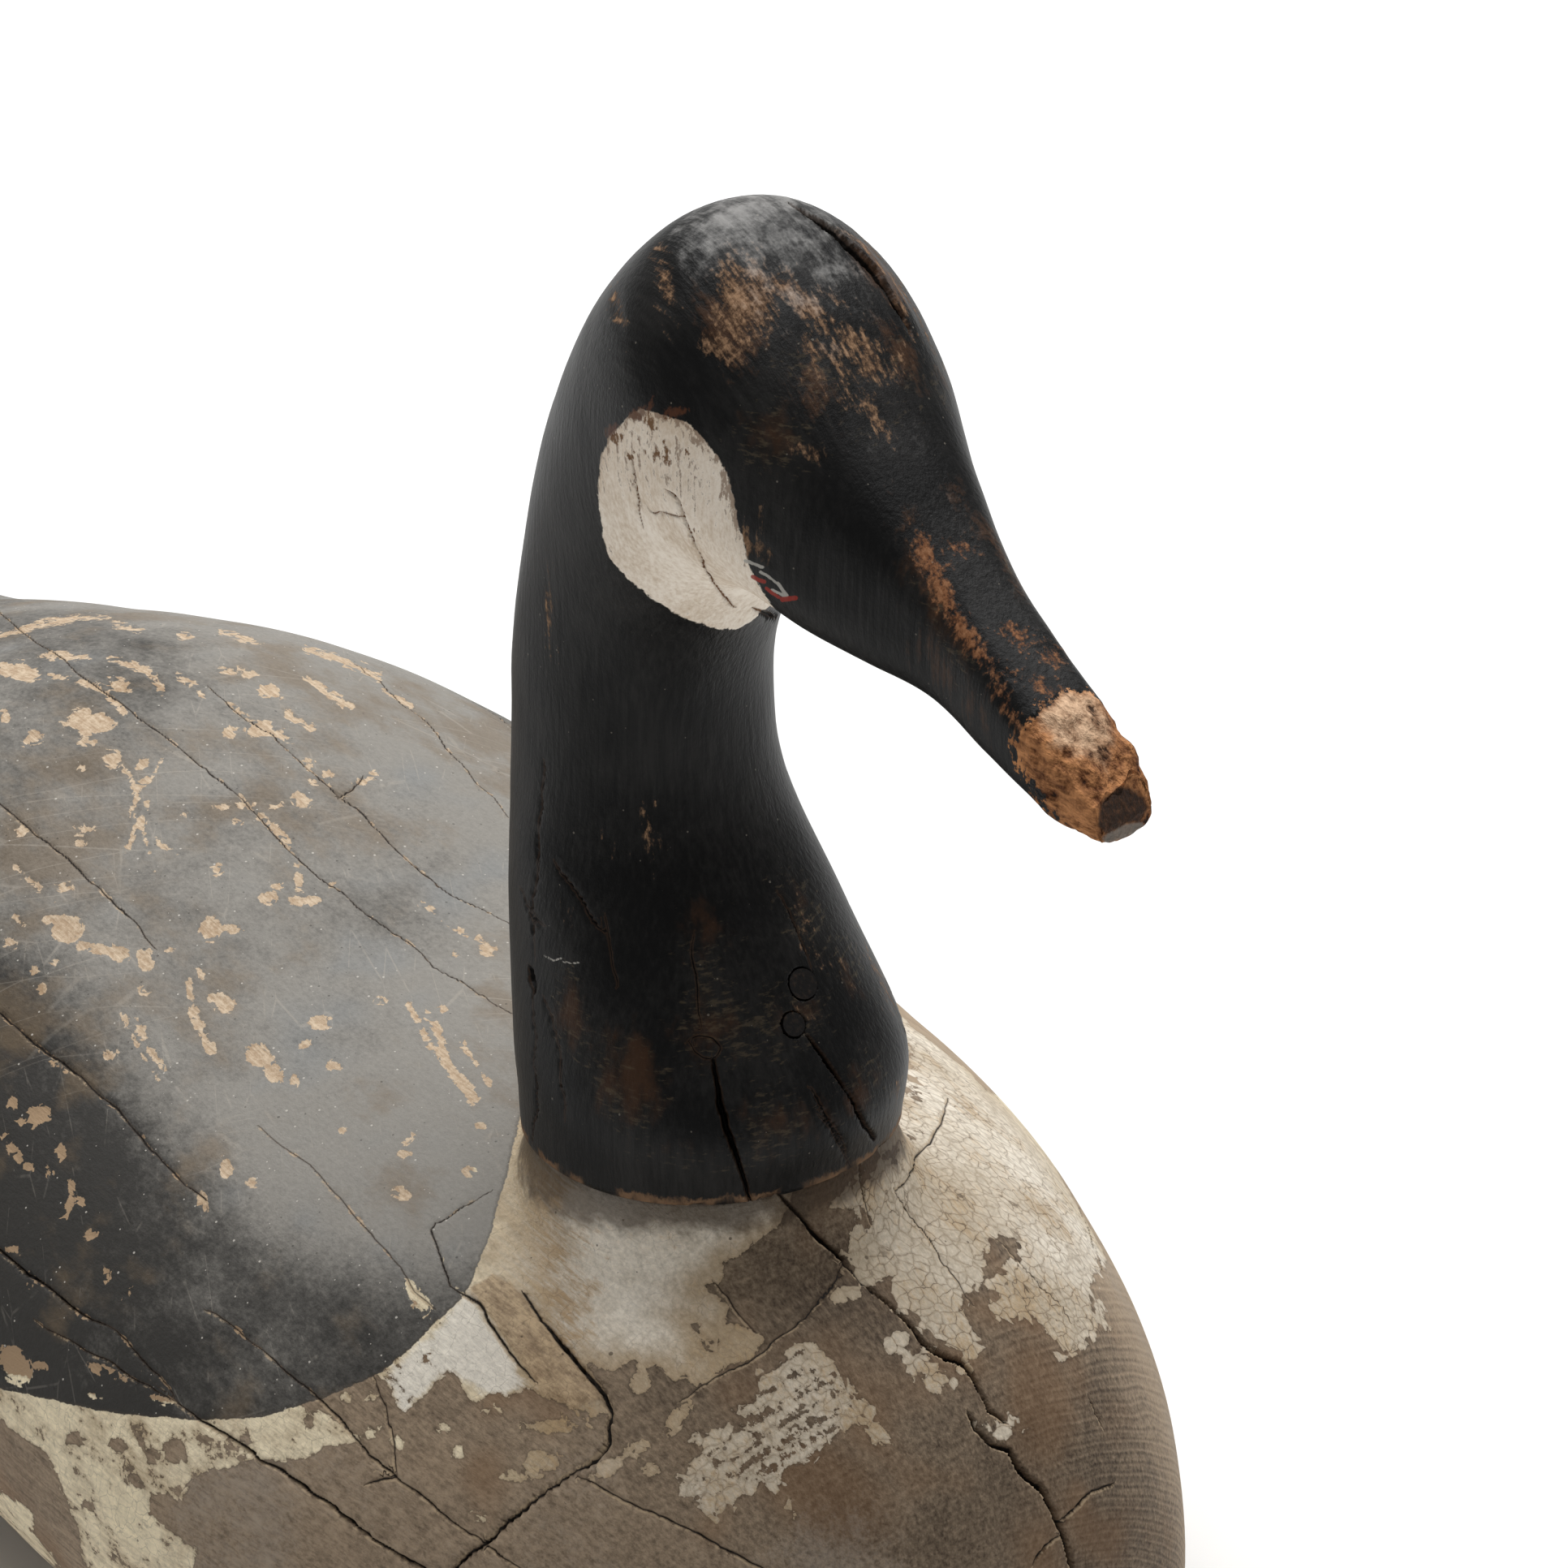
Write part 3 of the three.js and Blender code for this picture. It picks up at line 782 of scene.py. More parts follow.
# %% Outlines of the body's paint
BACK_COAT = [
    (1000, 1100), (760, 1240), (720, 1270), (690, 1290), (665, 1312), (650, 1342),
    (637, 1385), (625, 1440), (612, 1490), (600, 1530), (575, 1590), (540, 1625),
    (500, 1665), (470, 1690), (400, 1720), (325, 1745), (250, 1750), (160, 1743),
    (100, 1735), (60, 1725), (0, 1712),
]
SEAT_CREAM = [
    (639, 1370), (760, 1300), (960, 1300), (975, 1470), (965, 1508), (939, 1520),
    (924, 1541), (894, 1556), (883, 1580), (859, 1586), (899, 1605), (893, 1628),
    (924, 1635), (943, 1649), (924, 1676), (900, 1679), (882, 1694), (858, 1713),
    (843, 1694), (828, 1703), (813, 1683), (789, 1691), (780, 1676), (744, 1689),
    (722, 1678), (752, 1722), (752, 1742), (720, 1741), (702, 1736), (675, 1724),
    (650, 1707), (636, 1715), (612, 1715), (576, 1724), (564, 1700), (552, 1687),
    (533, 1709), (521, 1722), (496, 1740), (487, 1734), (480, 1712), (462, 1693),
    (430, 1640), (560, 1500), (600, 1400),
]
FLANK_CREAM = [
    (-300, 1560), (0, 1690), (100, 1715), (250, 1735), (366, 1728), (434, 1765),
    (440, 1774), (397, 1780), (372, 1799), (322, 1796), (285, 1805), (248, 1814),
    (229, 1827), (220, 1851), (205, 1839), (180, 1842), (186, 1870), (217, 1895),
    (239, 1913), (232, 1935), (215, 1975), (120, 1960), (100, 1925), (93, 1907),
    (93, 1879), (74, 1839), (62, 1802), (46, 1783), (19, 1768), (0, 1752), (-120, 1690),
    (-330, 1570),
]
LOW_CREAM = [
    (-420, 1500), (-200, 1660), (-60, 1780), (-10, 1835), (20, 1850), (40, 1868),
    (35, 1890), (60, 1915), (75, 1945), (40, 1960), (-80, 1900), (-300, 1760), (-480, 1600),
]
RIGHT_CREAM = [
    (1060, 1300), (1069, 1441), (1042, 1475), (1024, 1482), (1048, 1481), (1069, 1506),
    (1048, 1517), (1042, 1541), (1062, 1565), (1042, 1579), (1024, 1600), (1028, 1610),
    (1062, 1586), (1104, 1577), (1097, 1596), (1104, 1614), (1125, 1615), (1135, 1634),
    (1149, 1652), (1197, 1666), (1215, 1655), (1194, 1636), (1183, 1612), (1201, 1593),
    (1211, 1572), (1216, 1544), (1228, 1522), (1260, 1531), (1257, 1548), (1232, 1569),
    (1223, 1586), (1230, 1614), (1251, 1625), (1266, 1614), (1277, 1629), (1302, 1650),
    (1311, 1670), (1336, 1657), (1363, 1634), (1360, 1617), (1349, 1589), (1356, 1572),
    (1361, 1553), (1400, 1560), (1420, 1500), (1300, 1280), (1180, 1200), (1090, 1200),
]
MIDDLE_CREAM = [
    (978, 1658), (1002, 1655), (1014, 1676), (1032, 1682), (1050, 1724), (1074, 1736),
    (1080, 1760), (1095, 1772), (1098, 1790), (1080, 1778), (1068, 1754), (1050, 1748),
    (1038, 1760), (1020, 1784), (996, 1808), (972, 1814), (960, 1838), (936, 1820),
    (924, 1838), (906, 1844), (900, 1862), (882, 1877), (867, 1856), (840, 1838),
    (858, 1826), (834, 1814), (867, 1790), (876, 1778), (843, 1775), (864, 1760),
    (906, 1760), (924, 1754), (900, 1736), (930, 1724), (927, 1694), (954, 1688),
]
CREAM_FLAKES = [
    (835, 1748, 26, 10, -55), (785, 1785, 20, 9, -15), (748, 1808, 24, 8, -35),
    (803, 1812, 11, 8, 0), (668, 1800, 24, 12, 10), (640, 1817, 26, 5, 5),
    (690, 1757, 42, 7, 0), (790, 1704, 14, 12, -20), (600, 1739, 10, 5, 0),
    (975, 1863, 10, 6, 70), (1136, 1674, 18, 14, 10), (1157, 1700, 16, 9, 0),
    (1184, 1688, 8, 7, 0), (1109, 1652, 10, 8, -30), (1236, 1756, 22, 8, -2),
    (428, 1722, 9, 6, 0), (456, 1718, 13, 6, 0), (459, 1761, 11, 7, -20),
    (490, 1780, 10, 7, 60), (598, 1740, 12, 6, 0), (567, 1789, 10, 5, -15),
    (590, 1868, 14, 6, 20), (1058, 1520, 8, 12, 0), (540, 1760, 8, 5, 0),
]
CREAM_HOLES = [
    (143, 1781, 12, 9, 0), (173, 1777, 7, 7, 0), (186, 1795, 11, 9, 0),
    (214, 1789, 16, 13, 40), (378, 1752, 10, 9, 90), (93, 1774, 13, 7, 0),
    (164, 1826, 13, 9, 20), (105, 1857, 8, 5, 0), (300, 1775, 12, 5, 20),
    (1112, 1300, 16, 8, 60), (1130, 1335, 10, 7, 80), (1090, 1425, 22, 5, -30),
    (872, 1655, 9, 7, 0), (862, 1640, 12, 6, 40),
]
OCHRE_STRIP = [
    (572, 1590), (600, 1620), (635, 1672), (662, 1712), (700, 1738), (745, 1725),
    (735, 1700), (700, 1660), (665, 1620), (645, 1592), (610, 1570),
]
FRESH_CREAM = [
    (575, 1590), (600, 1625), (640, 1690), (655, 1712), (600, 1715), (552, 1690),
    (496, 1740), (470, 1695), (505, 1665), (545, 1625),
]
# Lower flank painted darker: soot, and painted shade where the flank turns from the light.
SOOTY_SHADED_FLANK = [
    (-1100, 900), (-300, 1090), (0, 1255), (60, 1315), (130, 1395), (220, 1465), (300, 1525),
    (400, 1575), (500, 1600), (590, 1590), (640, 1700), (500, 1760), (0, 1900), (-1200, 1500),
]
RUSTY_STAIN = [(1015, 1835, 95, 60, 30), (1290, 1620, 40, 20, 40), (1330, 1690, 30, 20, 60)]
# Tan chips through the charcoal, each an oval: column, row, half length, half breadth, turn.
BACK_CHIPS = [
    (23, 825, 28, 12, 10), (77, 807, 23, 5, 0), (110, 888, 32, 14, 5), (105, 912, 9, 5, 0),
    (39, 908, 14, 8, -10), (5, 883, 6, 8, 0), (143, 842, 17, 8, 15), (138, 933, 12, 10, 0),
    (175, 940, 10, 5, 0), (100, 943, 4, 4, 0), (173, 1010, 7, 10, 0), (103, 1017, 13, 6, 0),
    (97, 1033, 9, 7, 0), (23, 1020, 9, 5, 0), (75, 1090, 10, 5, 0), (80, 1142, 19, 17, 0),
    (103, 1163, 9, 6, 0), (122, 1165, 14, 9, 10), (143, 1172, 13, 9, 20), (179, 1180, 10, 14, 0),
    (67, 1181, 7, 5, 0), (257, 1141, 15, 15, 0), (287, 1143, 9, 5, 0), (267, 1068, 7, 6, 0),
    (330, 1104, 11, 8, 0), (367, 1080, 14, 6, 85), (377, 1106, 15, 6, 0), (343, 1087, 6, 5, 0),
    (350, 1030, 18, 6, 55), (275, 992, 9, 4, 0), (303, 990, 12, 4, 0), (343, 988, 6, 3, 0),
    (373, 982, 13, 11, 0), (320, 895, 16, 11, 0), (283, 900, 8, 6, -60), (350, 905, 14, 6, 30),
    (330, 848, 16, 8, 20), (283, 823, 10, 4, 0), (307, 827, 8, 5, 0), (227, 837, 11, 6, 30),
    (247, 852, 9, 5, 40), (227, 781, 8, 4, 0), (380, 940, 10, 6, 0), (400, 948, 9, 6, 30),
    (388, 958, 7, 5, 0), (453, 955, 12, 4, -20), (393, 1257, 12, 7, 0), (373, 1283, 12, 6, -10),
    (410, 1310, 9, 7, 0), (275, 1233, 15, 10, 30), (262, 1226, 8, 6, 0), (318, 1298, 18, 13, 20),
    (334, 1318, 14, 10, 50), (363, 1330, 6, 8, 0), (600, 1167, 11, 7, 20), (177, 1217, 7, 5, 0),
    (37, 1193, 6, 4, 0), (50, 1217, 5, 6, 0), (133, 1295, 9, 6, 0), (47, 1370, 17, 11, -10),
    (30, 1380, 10, 5, 30), (13, 1360, 6, 9, 0), (73, 1421, 10, 6, 70), (33, 1437, 7, 4, 0),
    (57, 1443, 8, 4, 70), (97, 1477, 9, 5, 40), (113, 1520, 9, 5, -30), (277, 1437, 11, 6, 80),
    (308, 1453, 7, 6, 0), (503, 1400, 9, 5, -40), (497, 1421, 7, 4, 0), (577, 1443, 7, 6, 0),
    (497, 1470, 11, 7, 20), (250, 1483, 13, 5, 80), (130, 1570, 9, 5, 90), (157, 1593, 10, 4, -50),
    (40, 1583, 9, 4, 0), (12, 1538, 9, 5, 0), (15, 1682, 24, 17, 60), (50, 1683, 9, 5, 0),
    (120, 1687, 20, 5, 20), (112, 1720, 9, 4, 0), (198, 1724, 13, 5, 20), (513, 1600, 26, 10, 55),
    (440, 1500, 5, 3, 0), (560, 1170, 5, 4, 0), (470, 1230, 6, 4, 0), (545, 1240, 6, 3, 0),
    (590, 1385, 6, 4, 0), (232, 1000, 5, 3, 0), (205, 1040, 9, 3, 30), (290, 1010, 6, 4, 0),
    (410, 1085, 7, 4, -30), (190, 1075, 4, 3, 0), (330, 1380, 5, 3, 0), (420, 1390, 4, 3, 0),
    (20, 1130, 9, 4, 50), (60, 1130, 5, 3, 0), (12, 1160, 6, 4, 0), (205, 1165, 5, 3, 0),
    (-90, 960, 40, 14, 30), (-160, 1130, 34, 12, 40), (-60, 1260, 30, 9, 50),
    (-220, 820, 30, 10, 20), (-250, 1320, 26, 12, 40), (-330, 700, 24, 8, 20),
]
# Scrapes through the charcoal, each a width and the places it runs through.
BACK_SCRAPES = [
    (8, [(137, 810), (167, 819), (188, 831), (200, 850)]),
    (7, [(123, 847), (138, 860), (152, 875)]),
    (7, [(200, 933), (190, 950), (172, 968), (163, 990), (167, 1007), (158, 1040)]),
    (6, [(153, 948), (167, 968)]), (4, [(180, 985), (176, 1020), (184, 1050)]),
    (9, [(19, 1065), (30, 1078), (46, 1092)]), (6, [(320, 1002), (338, 1018), (355, 1038)]),
    (8, [(355, 878), (370, 886), (388, 897)]), (8, [(380, 832), (405, 850), (433, 867)]),
    (9, [(380, 797), (420, 808), (467, 830)]), (6, [(273, 773), (320, 790)]),
    (9, [(-60, 800), (0, 780), (67, 763), (133, 753)]), (5, [(140, 767), (173, 773)]),
    (4, [(473, 847), (507, 867)]), (8, [(230, 1206), (233, 1225), (238, 1240)]),
    (11, [(236, 1240), (247, 1266), (258, 1290)]), (9, [(167, 1250), (180, 1285), (199, 1316)]),
    (3, [(150, 1247), (170, 1290), (193, 1327)]), (4, [(503, 1233), (516, 1260), (530, 1287)]),
    (9, [(527, 1243), (538, 1262), (545, 1290)]), (16, [(545, 1295), (560, 1320), (582, 1348)]),
    (3, [(567, 1280), (585, 1305), (603, 1333)]), (8, [(3, 1400), (20, 1427)]),
    (9, [(84, 1456), (86, 1475), (76, 1498)]), (5, [(281, 864), (300, 880), (318, 892)]),
    (4, [(60, 830), (100, 838), (128, 850)]), (4, [(520, 1110), (560, 1140), (600, 1160)]),
    (4, [(45, 1285), (60, 1305), (80, 1318)]), (3, [(240, 1180), (248, 1200)]),
]

# %% Depth of each coat on the body
tail_edge = photo_pixels(body_skin(np.linspace(6.6, 0.0, 12), np.full(12, 0.475)))
back_outline = BACK_COAT + [tuple(place) for place in tail_edge] + [(-900, 400), (1000, 300)]
CREAM_ISLANDS = (SEAT_CREAM, FLANK_CREAM, LOW_CREAM, RIGHT_CREAM, MIDDLE_CREAM)


def cream_depth(pixels):
    """Deepest of the cream islands and flakes, less the holes worn in them."""
    islands = [outline_depth(pixels, island) for island in CREAM_ISLANDS]
    depth = np.maximum.reduce([spot_depth(pixels, CREAM_FLAKES), *islands])
    return np.minimum(depth, -spot_depth(pixels, CREAM_HOLES))


def chip_depth(pixels):
    """Depth inside the chips and scrapes of the charcoal."""
    return np.maximum(spot_depth(pixels, BACK_CHIPS), stroke_depth(pixels, BACK_SCRAPES))


def coat_places(points):
    """Places where the charcoal is read: on the far side it stopped 55 mm further back."""
    ahead = 55.0 * ease(0.0, 45.0, points[:, 1])
    return points + np.column_stack([ahead, 0 * ahead, 0 * ahead])


def back_depth(points):
    """Depth inside the charcoal back, for points on the skin."""
    return near_side(coat_places(points), outline_depth, back_outline, 120.0)


# %% Where the body's net has to be fine
PICTURE_EDGE = 40


def past_foot(points):
    """Distance of each point outside the neck's foot, in plan."""
    return np.hypot(points[:, 0] - NECK_X, points[:, 1]) - NECK_DEPTH / 2


def body_detail(points):
    """The length of edge wanted: fine at cracks, middling at flaked edges, coarse behind.

    Each thing asks for its own finest length, plus a share of the distance from it.
    """
    pixels = photo_pixels(points)
    shown = ((pixels > -PICTURE_EDGE) & (pixels < PHOTO_SIDE + PICTURE_EDGE)).all(axis=1)
    flaked = 1.8 + 0.4 * np.clip(np.abs(cream_depth(pixels)) - 1.5, 0, None)
    chipped = 0.95 + 0.5 * np.abs(chip_depth(pixels))
    painted = 2.6 + 0.3 * np.abs(back_depth(points))
    rim = 1.1 + 0.4 * np.abs(past_foot(points) + 2)
    return np.minimum.reduce([
        np.where(shown, np.minimum(flaked, chipped), COARSEST),
        np.where(points[:, 2] > NECK_Z - 30, rim, COARSEST),
        np.where(shown, 4.0, 6.5),
        painted,
        crack_detail(points, body_lines),
    ])


# %% The body's net
tail_rows = [-1.0, -0.98, -0.5, -0.04]
nose_rows = [12.93, 12.97, 12.99, 13.0]
body_rows = np.concatenate([tail_rows, np.linspace(0, 12.86, 96), nose_rows])
body_uv, body_faces = fine_net(body_rows, 96, body_skin, body_detail)
body_points = body_skin(body_uv[:, 0], body_uv[:, 1])
body_out = outward(body_points, body_faces)
print("body:", len(body_points), "points,", len(body_faces), "triangles")


# %% Cutting the body's detail
def carve_body(points, out):
    """Sinks and raises the skin along its own normals.

    Hand-cut hollows fade out under the neck and at the ground. The strip of breast between
    two cracks stands a little proud, chips lie a little low, and cracks are cut last.
    """
    free = ease(2.0, 14.0, past_foot(points)) + (points[:, 2] < NECK_Z - 12)
    free = np.clip(free, 0, 1) * ease(1.0, 9.0, points[:, 2])
    hollow = 0.45 * lumps(points, 46.0, 11) + 0.22 * lumps(points, 15.0, 12) - 0.45
    strip = ease(-0.4, 0.5, outline_depth(photo_pixels(points), OCHRE_STRIP))
    strip = strip * (out @ towards_camera > 0)
    chips = ease(-0.4, 0.5, two_sided(points, out, chip_depth))
    sink, crack_marks = crack_cut(points, out, body_lines)
    move = free * hollow + 0.9 * strip - 0.25 * chips - sink
    return points + out * move[:, None], crack_marks


body_cut, crack_marks = carve_body(body_points, body_out)
furthest = np.linalg.norm(body_cut - body_points, axis=1).max()
print("body carved, by up to", round(float(furthest), 1), "mm")


# %% The body's marks for its finish
def before_column(pixels, full, none):
    """A soft step across the picture: 1 left of the column full, 0 right of none."""
    return 1 - ease(full, none, pixels[:, 0])


def ridged(pixels):
    """The lacy patch in the middle of the breast, with a soft edge outside it."""
    return ease(-4, 1, outline_depth(pixels, MIDDLE_CREAM))


def crackled(pixels):
    """Where the cream is crazed: the lacy patch and everything right of it."""
    return np.maximum(ease(980, 1080, pixels[:, 0]), ridged(pixels))


body_marks = {
    **crack_marks,
    **cloudy_marks(body_points),
    "back_coat": back_depth(body_points),
    # Soot, and painted shade, on the lower flank.
    "soot": near_side(body_points, outline_depth, SOOTY_SHADED_FLANK, 240.0),
    "stain": near_side(body_points, spot_depth, RUSTY_STAIN),
    "from_seat": past_foot(body_points),
    "sky": body_out[:, 2],
}
for mark, *measure in [
        ("cream_coat", cream_depth), ("chip", chip_depth), ("crackle", crackled),
        ("ridged", ridged), ("ochre", outline_depth, OCHRE_STRIP),
        ("fresh", outline_depth, FRESH_CREAM), ("seat_side", before_column, 640, 800),
        ("torn", before_column, 520, 700)]:
    body_marks[mark] = two_sided(body_points, body_out, *measure)
print("body marks:", ", ".join(body_marks))

# %% [markdown]
# ## The head's scars and paint
#
# The head is carved with the grain running up the neck, so its checks run up the neck too,
# and one has split the crown. Black paint has rubbed through to tan wood where hands
# and bags touched it: on the crown, along the edges of the bill, at the raw bill tip and
# round the foot. The eye is only painted, in a few strokes of white and red.

# %% Cracks of the head and neck
HEAD_CRACKS = [
    (0.90, 2.6, [(996, 1275), (1015, 1300), (1036, 1331), (1056, 1362), (1065, 1385),
                 (1078, 1404)]),
    (1.20, 4.0, [(879, 1306), (885, 1340), (893, 1380), (902, 1410), (912, 1440),
                 (924, 1478)]),
    (0.25, 0.7, [(856, 1150), (858, 1200), (864, 1262)]),
    (0.35, 1.0, [(1000, 1340), (1022, 1380), (1043, 1418)]),
    (0.30, 0.9, [(668, 940), (662, 1010), (660, 1080), (655, 1140), (657, 1180)]),
    (0.35, 1.0, [(656, 1215), (655, 1260), (659, 1330), (656, 1405)]),
    (0.35, 1.0, [(682, 1063), (715, 1110), (750, 1157)]),
    (0.30, 0.8, [(640, 1095), (652, 1130), (668, 1140)]),
    (1.50, 4.0, [(975, 250), (1000, 267), (1018, 281), (1039, 299), (1064, 324),
                 (1085, 349), (1110, 385), (1124, 410)]),
    (0.50, 1.2, [(820, 606), (833, 616), (840, 637), (850, 664), (862, 690), (875, 715),
                 (890, 735), (905, 750)]),
    (0.25, 0.6, [(797, 628), (803, 634), (820, 634), (838, 638)]),
    (0.30, 0.8, [(773, 560), (780, 592), (785, 620), (790, 650)]),
    (0.50, 1.2, [(928, 751), (942, 756), (958, 762)]),
    (0.35, 0.9, [(1040, 1085), (1052, 1108), (1060, 1128)]),
    (0.60, 1.4, [(1100, 1215), (1110, 1245), (1117, 1275)]),
    (0.25, 0.7, [(848, 1282), (860, 1276), (878, 1279), (889, 1291), (880, 1306)]),
    (0.25, 0.7, [(848, 1282), (856, 1296), (866, 1303), (879, 1306)]),
    (0.25, 0.7, [(960, 1100), (985, 1150), (1000, 1190)]),
    (2.60, 2.4, [(650, 1194), (653, 1206), (656, 1222)]),
    (0.25, 0.7, [(668, 1230), (680, 1262), (690, 1300), (694, 1380)]),
    (0.25, 0.6, [(744, 1130), (752, 1180), (760, 1215)]),
    (0.25, 0.7, [(1010, 1375), (1035, 1410), (1050, 1440)]),
]
CROWN_SPLIT = 8
CHEEK = [
    (788, 503), (771, 514), (751, 536), (738, 565), (735, 598), (737, 631), (742, 661),
    (751, 690), (770, 712), (795, 734), (825, 754), (858, 769), (891, 778), (913, 776),
    (942, 768), (963, 766), (953, 752), (938, 730), (924, 705), (918, 686), (913, 664),
    (907, 639), (903, 613), (898, 587), (887, 569), (869, 543), (847, 521), (825, 514),
]
CHEEK_BARE = [
    (800, 520, 16, 8, 80), (803, 545, 22, 5, 75), (812, 567, 9, 7, 80), (793, 560, 12, 4, 70),
    (822, 560, 22, 4, 80), (845, 562, 8, 4, 90), (762, 538, 12, 7, -20), (832, 512, 20, 6, -8),
    (775, 562, 7, 5, 0), (858, 660, 10, 3, 60),
]
BROWN_DRIPS = [
    (800, 500, 14, 5, -70), (785, 510, 20, 8, -25), (832, 508, 20, 8, -10), (755, 528, 14, 7, -40),
    (806, 488, 10, 3, -75),
]
HEAD_WORN = [
    (905, 375, 74, 30, 88), (935, 365, 50, 26, 80), (965, 350, 36, 22, 25), (818, 345, 46, 14, 78),
    (995, 375, 34, 22, 45), (1022, 400, 30, 16, 40), (1062, 425, 44, 22, 30),
    (1078, 448, 36, 24, 10), (1045, 468, 44, 14, 72), (1000, 430, 40, 10, 70),
    (988, 462, 28, 8, 70), (1078, 510, 40, 12, 60), (1030, 365, 26, 9, 30),
    (890, 430, 34, 20, 20), (760, 380, 26, 8, 80), (940, 300, 10, 5, 0), (1150, 420, 60, 7, 62),
    (1095, 330, 62, 9, 55), (1000, 560, 26, 10, 30), (993, 1143, 20, 6, 78),
    (1004, 1174, 22, 8, 30), (1030, 1195, 14, 4, 40), (700, 1130, 18, 5, 78),
    (745, 1032, 16, 5, 60), (800, 1015, 26, 5, 80), (811, 1040, 12, 5, -30),
    (675, 745, 34, 3, 88), (1112, 1352, 14, 7, 75), (1105, 1240, 34, 6, 62),
    (1290, 846, 30, 12, 30), (1162, 690, 18, 9, 60),
    (984, 1245, 12, 5, 20), (940, 640, 10, 3, 80), (1240, 870, 40, 10, 62),
    (1256, 784, 24, 15, 30), (1297, 806, 24, 13, 35), (1182, 674, 26, 11, 10),
    (1240, 830, 16, 6, 30), (1128, 650, 14, 6, 60), (1080, 1180, 24, 6, 60),
]
BROWN_SMEARS = [
    (1150, 730, 90, 26, 64), (1150, 810, 56, 24, 66), (1200, 865, 60, 20, 60),
    (1240, 880, 70, 16, 60), (900, 400, 70, 50, 70), (1000, 470, 60, 34, 70),
    (1120, 640, 50, 20, 60), (1210, 900, 60, 10, 50),
]
BILL_EDGE = [
    (34, [(1136, 662), (1150, 700), (1168, 742)]), (32, [(1168, 742), (1188, 778), (1212, 815)]),
    (16, [(1215, 812), (1238, 850), (1250, 890)]),
    (9, [(1035, 288), (1062, 308), (1088, 336), (1112, 378), (1128, 415)]),
    (17, [(914, 660), (922, 676), (937, 675), (946, 681), (950, 690)]),
]
RAW_BILL = [
    (1250, 925), (1258, 905), (1268, 876), (1299, 854), (1342, 842), (1350, 866), (1385, 905),
    (1440, 955), (1460, 1060), (1340, 1070), (1300, 1015), (1275, 985), (1255, 955),
]
PALE_BILL = [
    (1275, 880), (1305, 855), (1350, 860), (1400, 940), (1385, 958), (1340, 935), (1300, 915),
]
END_DARK = [
    (1351, 1018), (1357, 990), (1380, 968), (1412, 966), (1428, 974), (1424, 990), (1404, 1003),
    (1364, 1029),
]
END_BAND = [
    (1358, 1032), (1404, 1006), (1424, 992), (1426, 1008), (1404, 1026), (1362, 1040),
]
HEAD_SCUFFS = [
    (875, 1265, 70, 60, 0), (870, 1150, 50, 60, 0), (1050, 1190, 40, 26, 60),
    (960, 1260, 40, 60, 0), (780, 1330, 60, 70, 0), (960, 1380, 70, 50, 0),
    (1010, 480, 90, 30, 50), (1160, 770, 110, 26, 64), (700, 1250, 30, 70, 0),
    (900, 1420, 120, 26, 5), (960, 540, 60, 50, 0), (1090, 1300, 60, 20, 80),
]
EYE_WHITE = [
    (3, [(668, 1177), (680, 1184), (690, 1181)]), (3, [(693, 1185), (704, 1187), (713, 1186)]),
    (5, [(917, 692), (928, 696), (938, 700)]), (4, [(935, 706), (945, 711), (955, 719)]),
    (5, [(957, 720), (963, 728), (968, 735)]), (4, [(950, 728), (958, 732), (966, 736)]),
]
EYE_RED = [
    (6, [(926, 712), (933, 716), (940, 718)]), (5, [(943, 726), (950, 732), (958, 737)]),
    (7, [(963, 740), (971, 739), (979, 738)]),
]

head_lines = crack_lines(head_skin, np.linspace(0.02, 13.98, 200), HEAD_CRACKS)
print(len(head_lines), "cracks laid on the head")

# %% [markdown]
# ## Wells for the two plugs
#
# Two round plugs are let into the foot of the neck. They are solids of the frame and keep
# their shape, so the skin only needs a well round each. A well is cut by pushing the skin
# in along the plug's own axis, with a ring of very fine triangles round its mouth.

# %% The plug wells
PLUG_TILT = math.radians(36)
PLUG_LENGTH = 9.0
WELL_GAP = 0.3
plug_axis = np.array([-math.cos(PLUG_TILT), 0.0, -math.sin(PLUG_TILT)])
PLUGS = {"upper_neck_plug": 3.2, "lower_neck_plug": 2.5}
plugs = [(np.array(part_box(name)).mean(axis=0) * 1000, radius) for name, radius in PLUGS.items()]


def well_place(points, middle):
    """Distance of each point from a plug's axis, and how far past the plug's face it is."""
    offset = points - middle
    ahead = offset @ plug_axis
    off_axis = np.linalg.norm(offset - ahead[:, None] * plug_axis, axis=1)
    return off_axis, ahead + PLUG_LENGTH / 2


def well_push(points):
    """How far each point goes in along the axis: to just past the plug's inner end."""
    push = np.zeros(len(points))
    for middle, radius in plugs:
        off_axis, past = well_place(points, middle)
        inside = (off_axis < radius + WELL_GAP) & (np.abs(past) < 5)
        push = np.where(inside, PLUG_LENGTH + WELL_GAP - past, push)
    return push


print("wells", [2 * (radius + WELL_GAP) for radius in PLUGS.values()], "mm across")


# %% The head's net
def worn_depth(pixels):
    """Depth inside the tan patches and the rubbed edges."""
    return np.maximum(spot_depth(pixels, HEAD_WORN), stroke_depth(pixels, BILL_EDGE))


def above_foot(points):
    """Height over the sloping plane of the neck's foot."""
    return points[:, 2] - NECK_Z - np.tan(NECK_RISE) * (points[:, 0] - NECK_X)


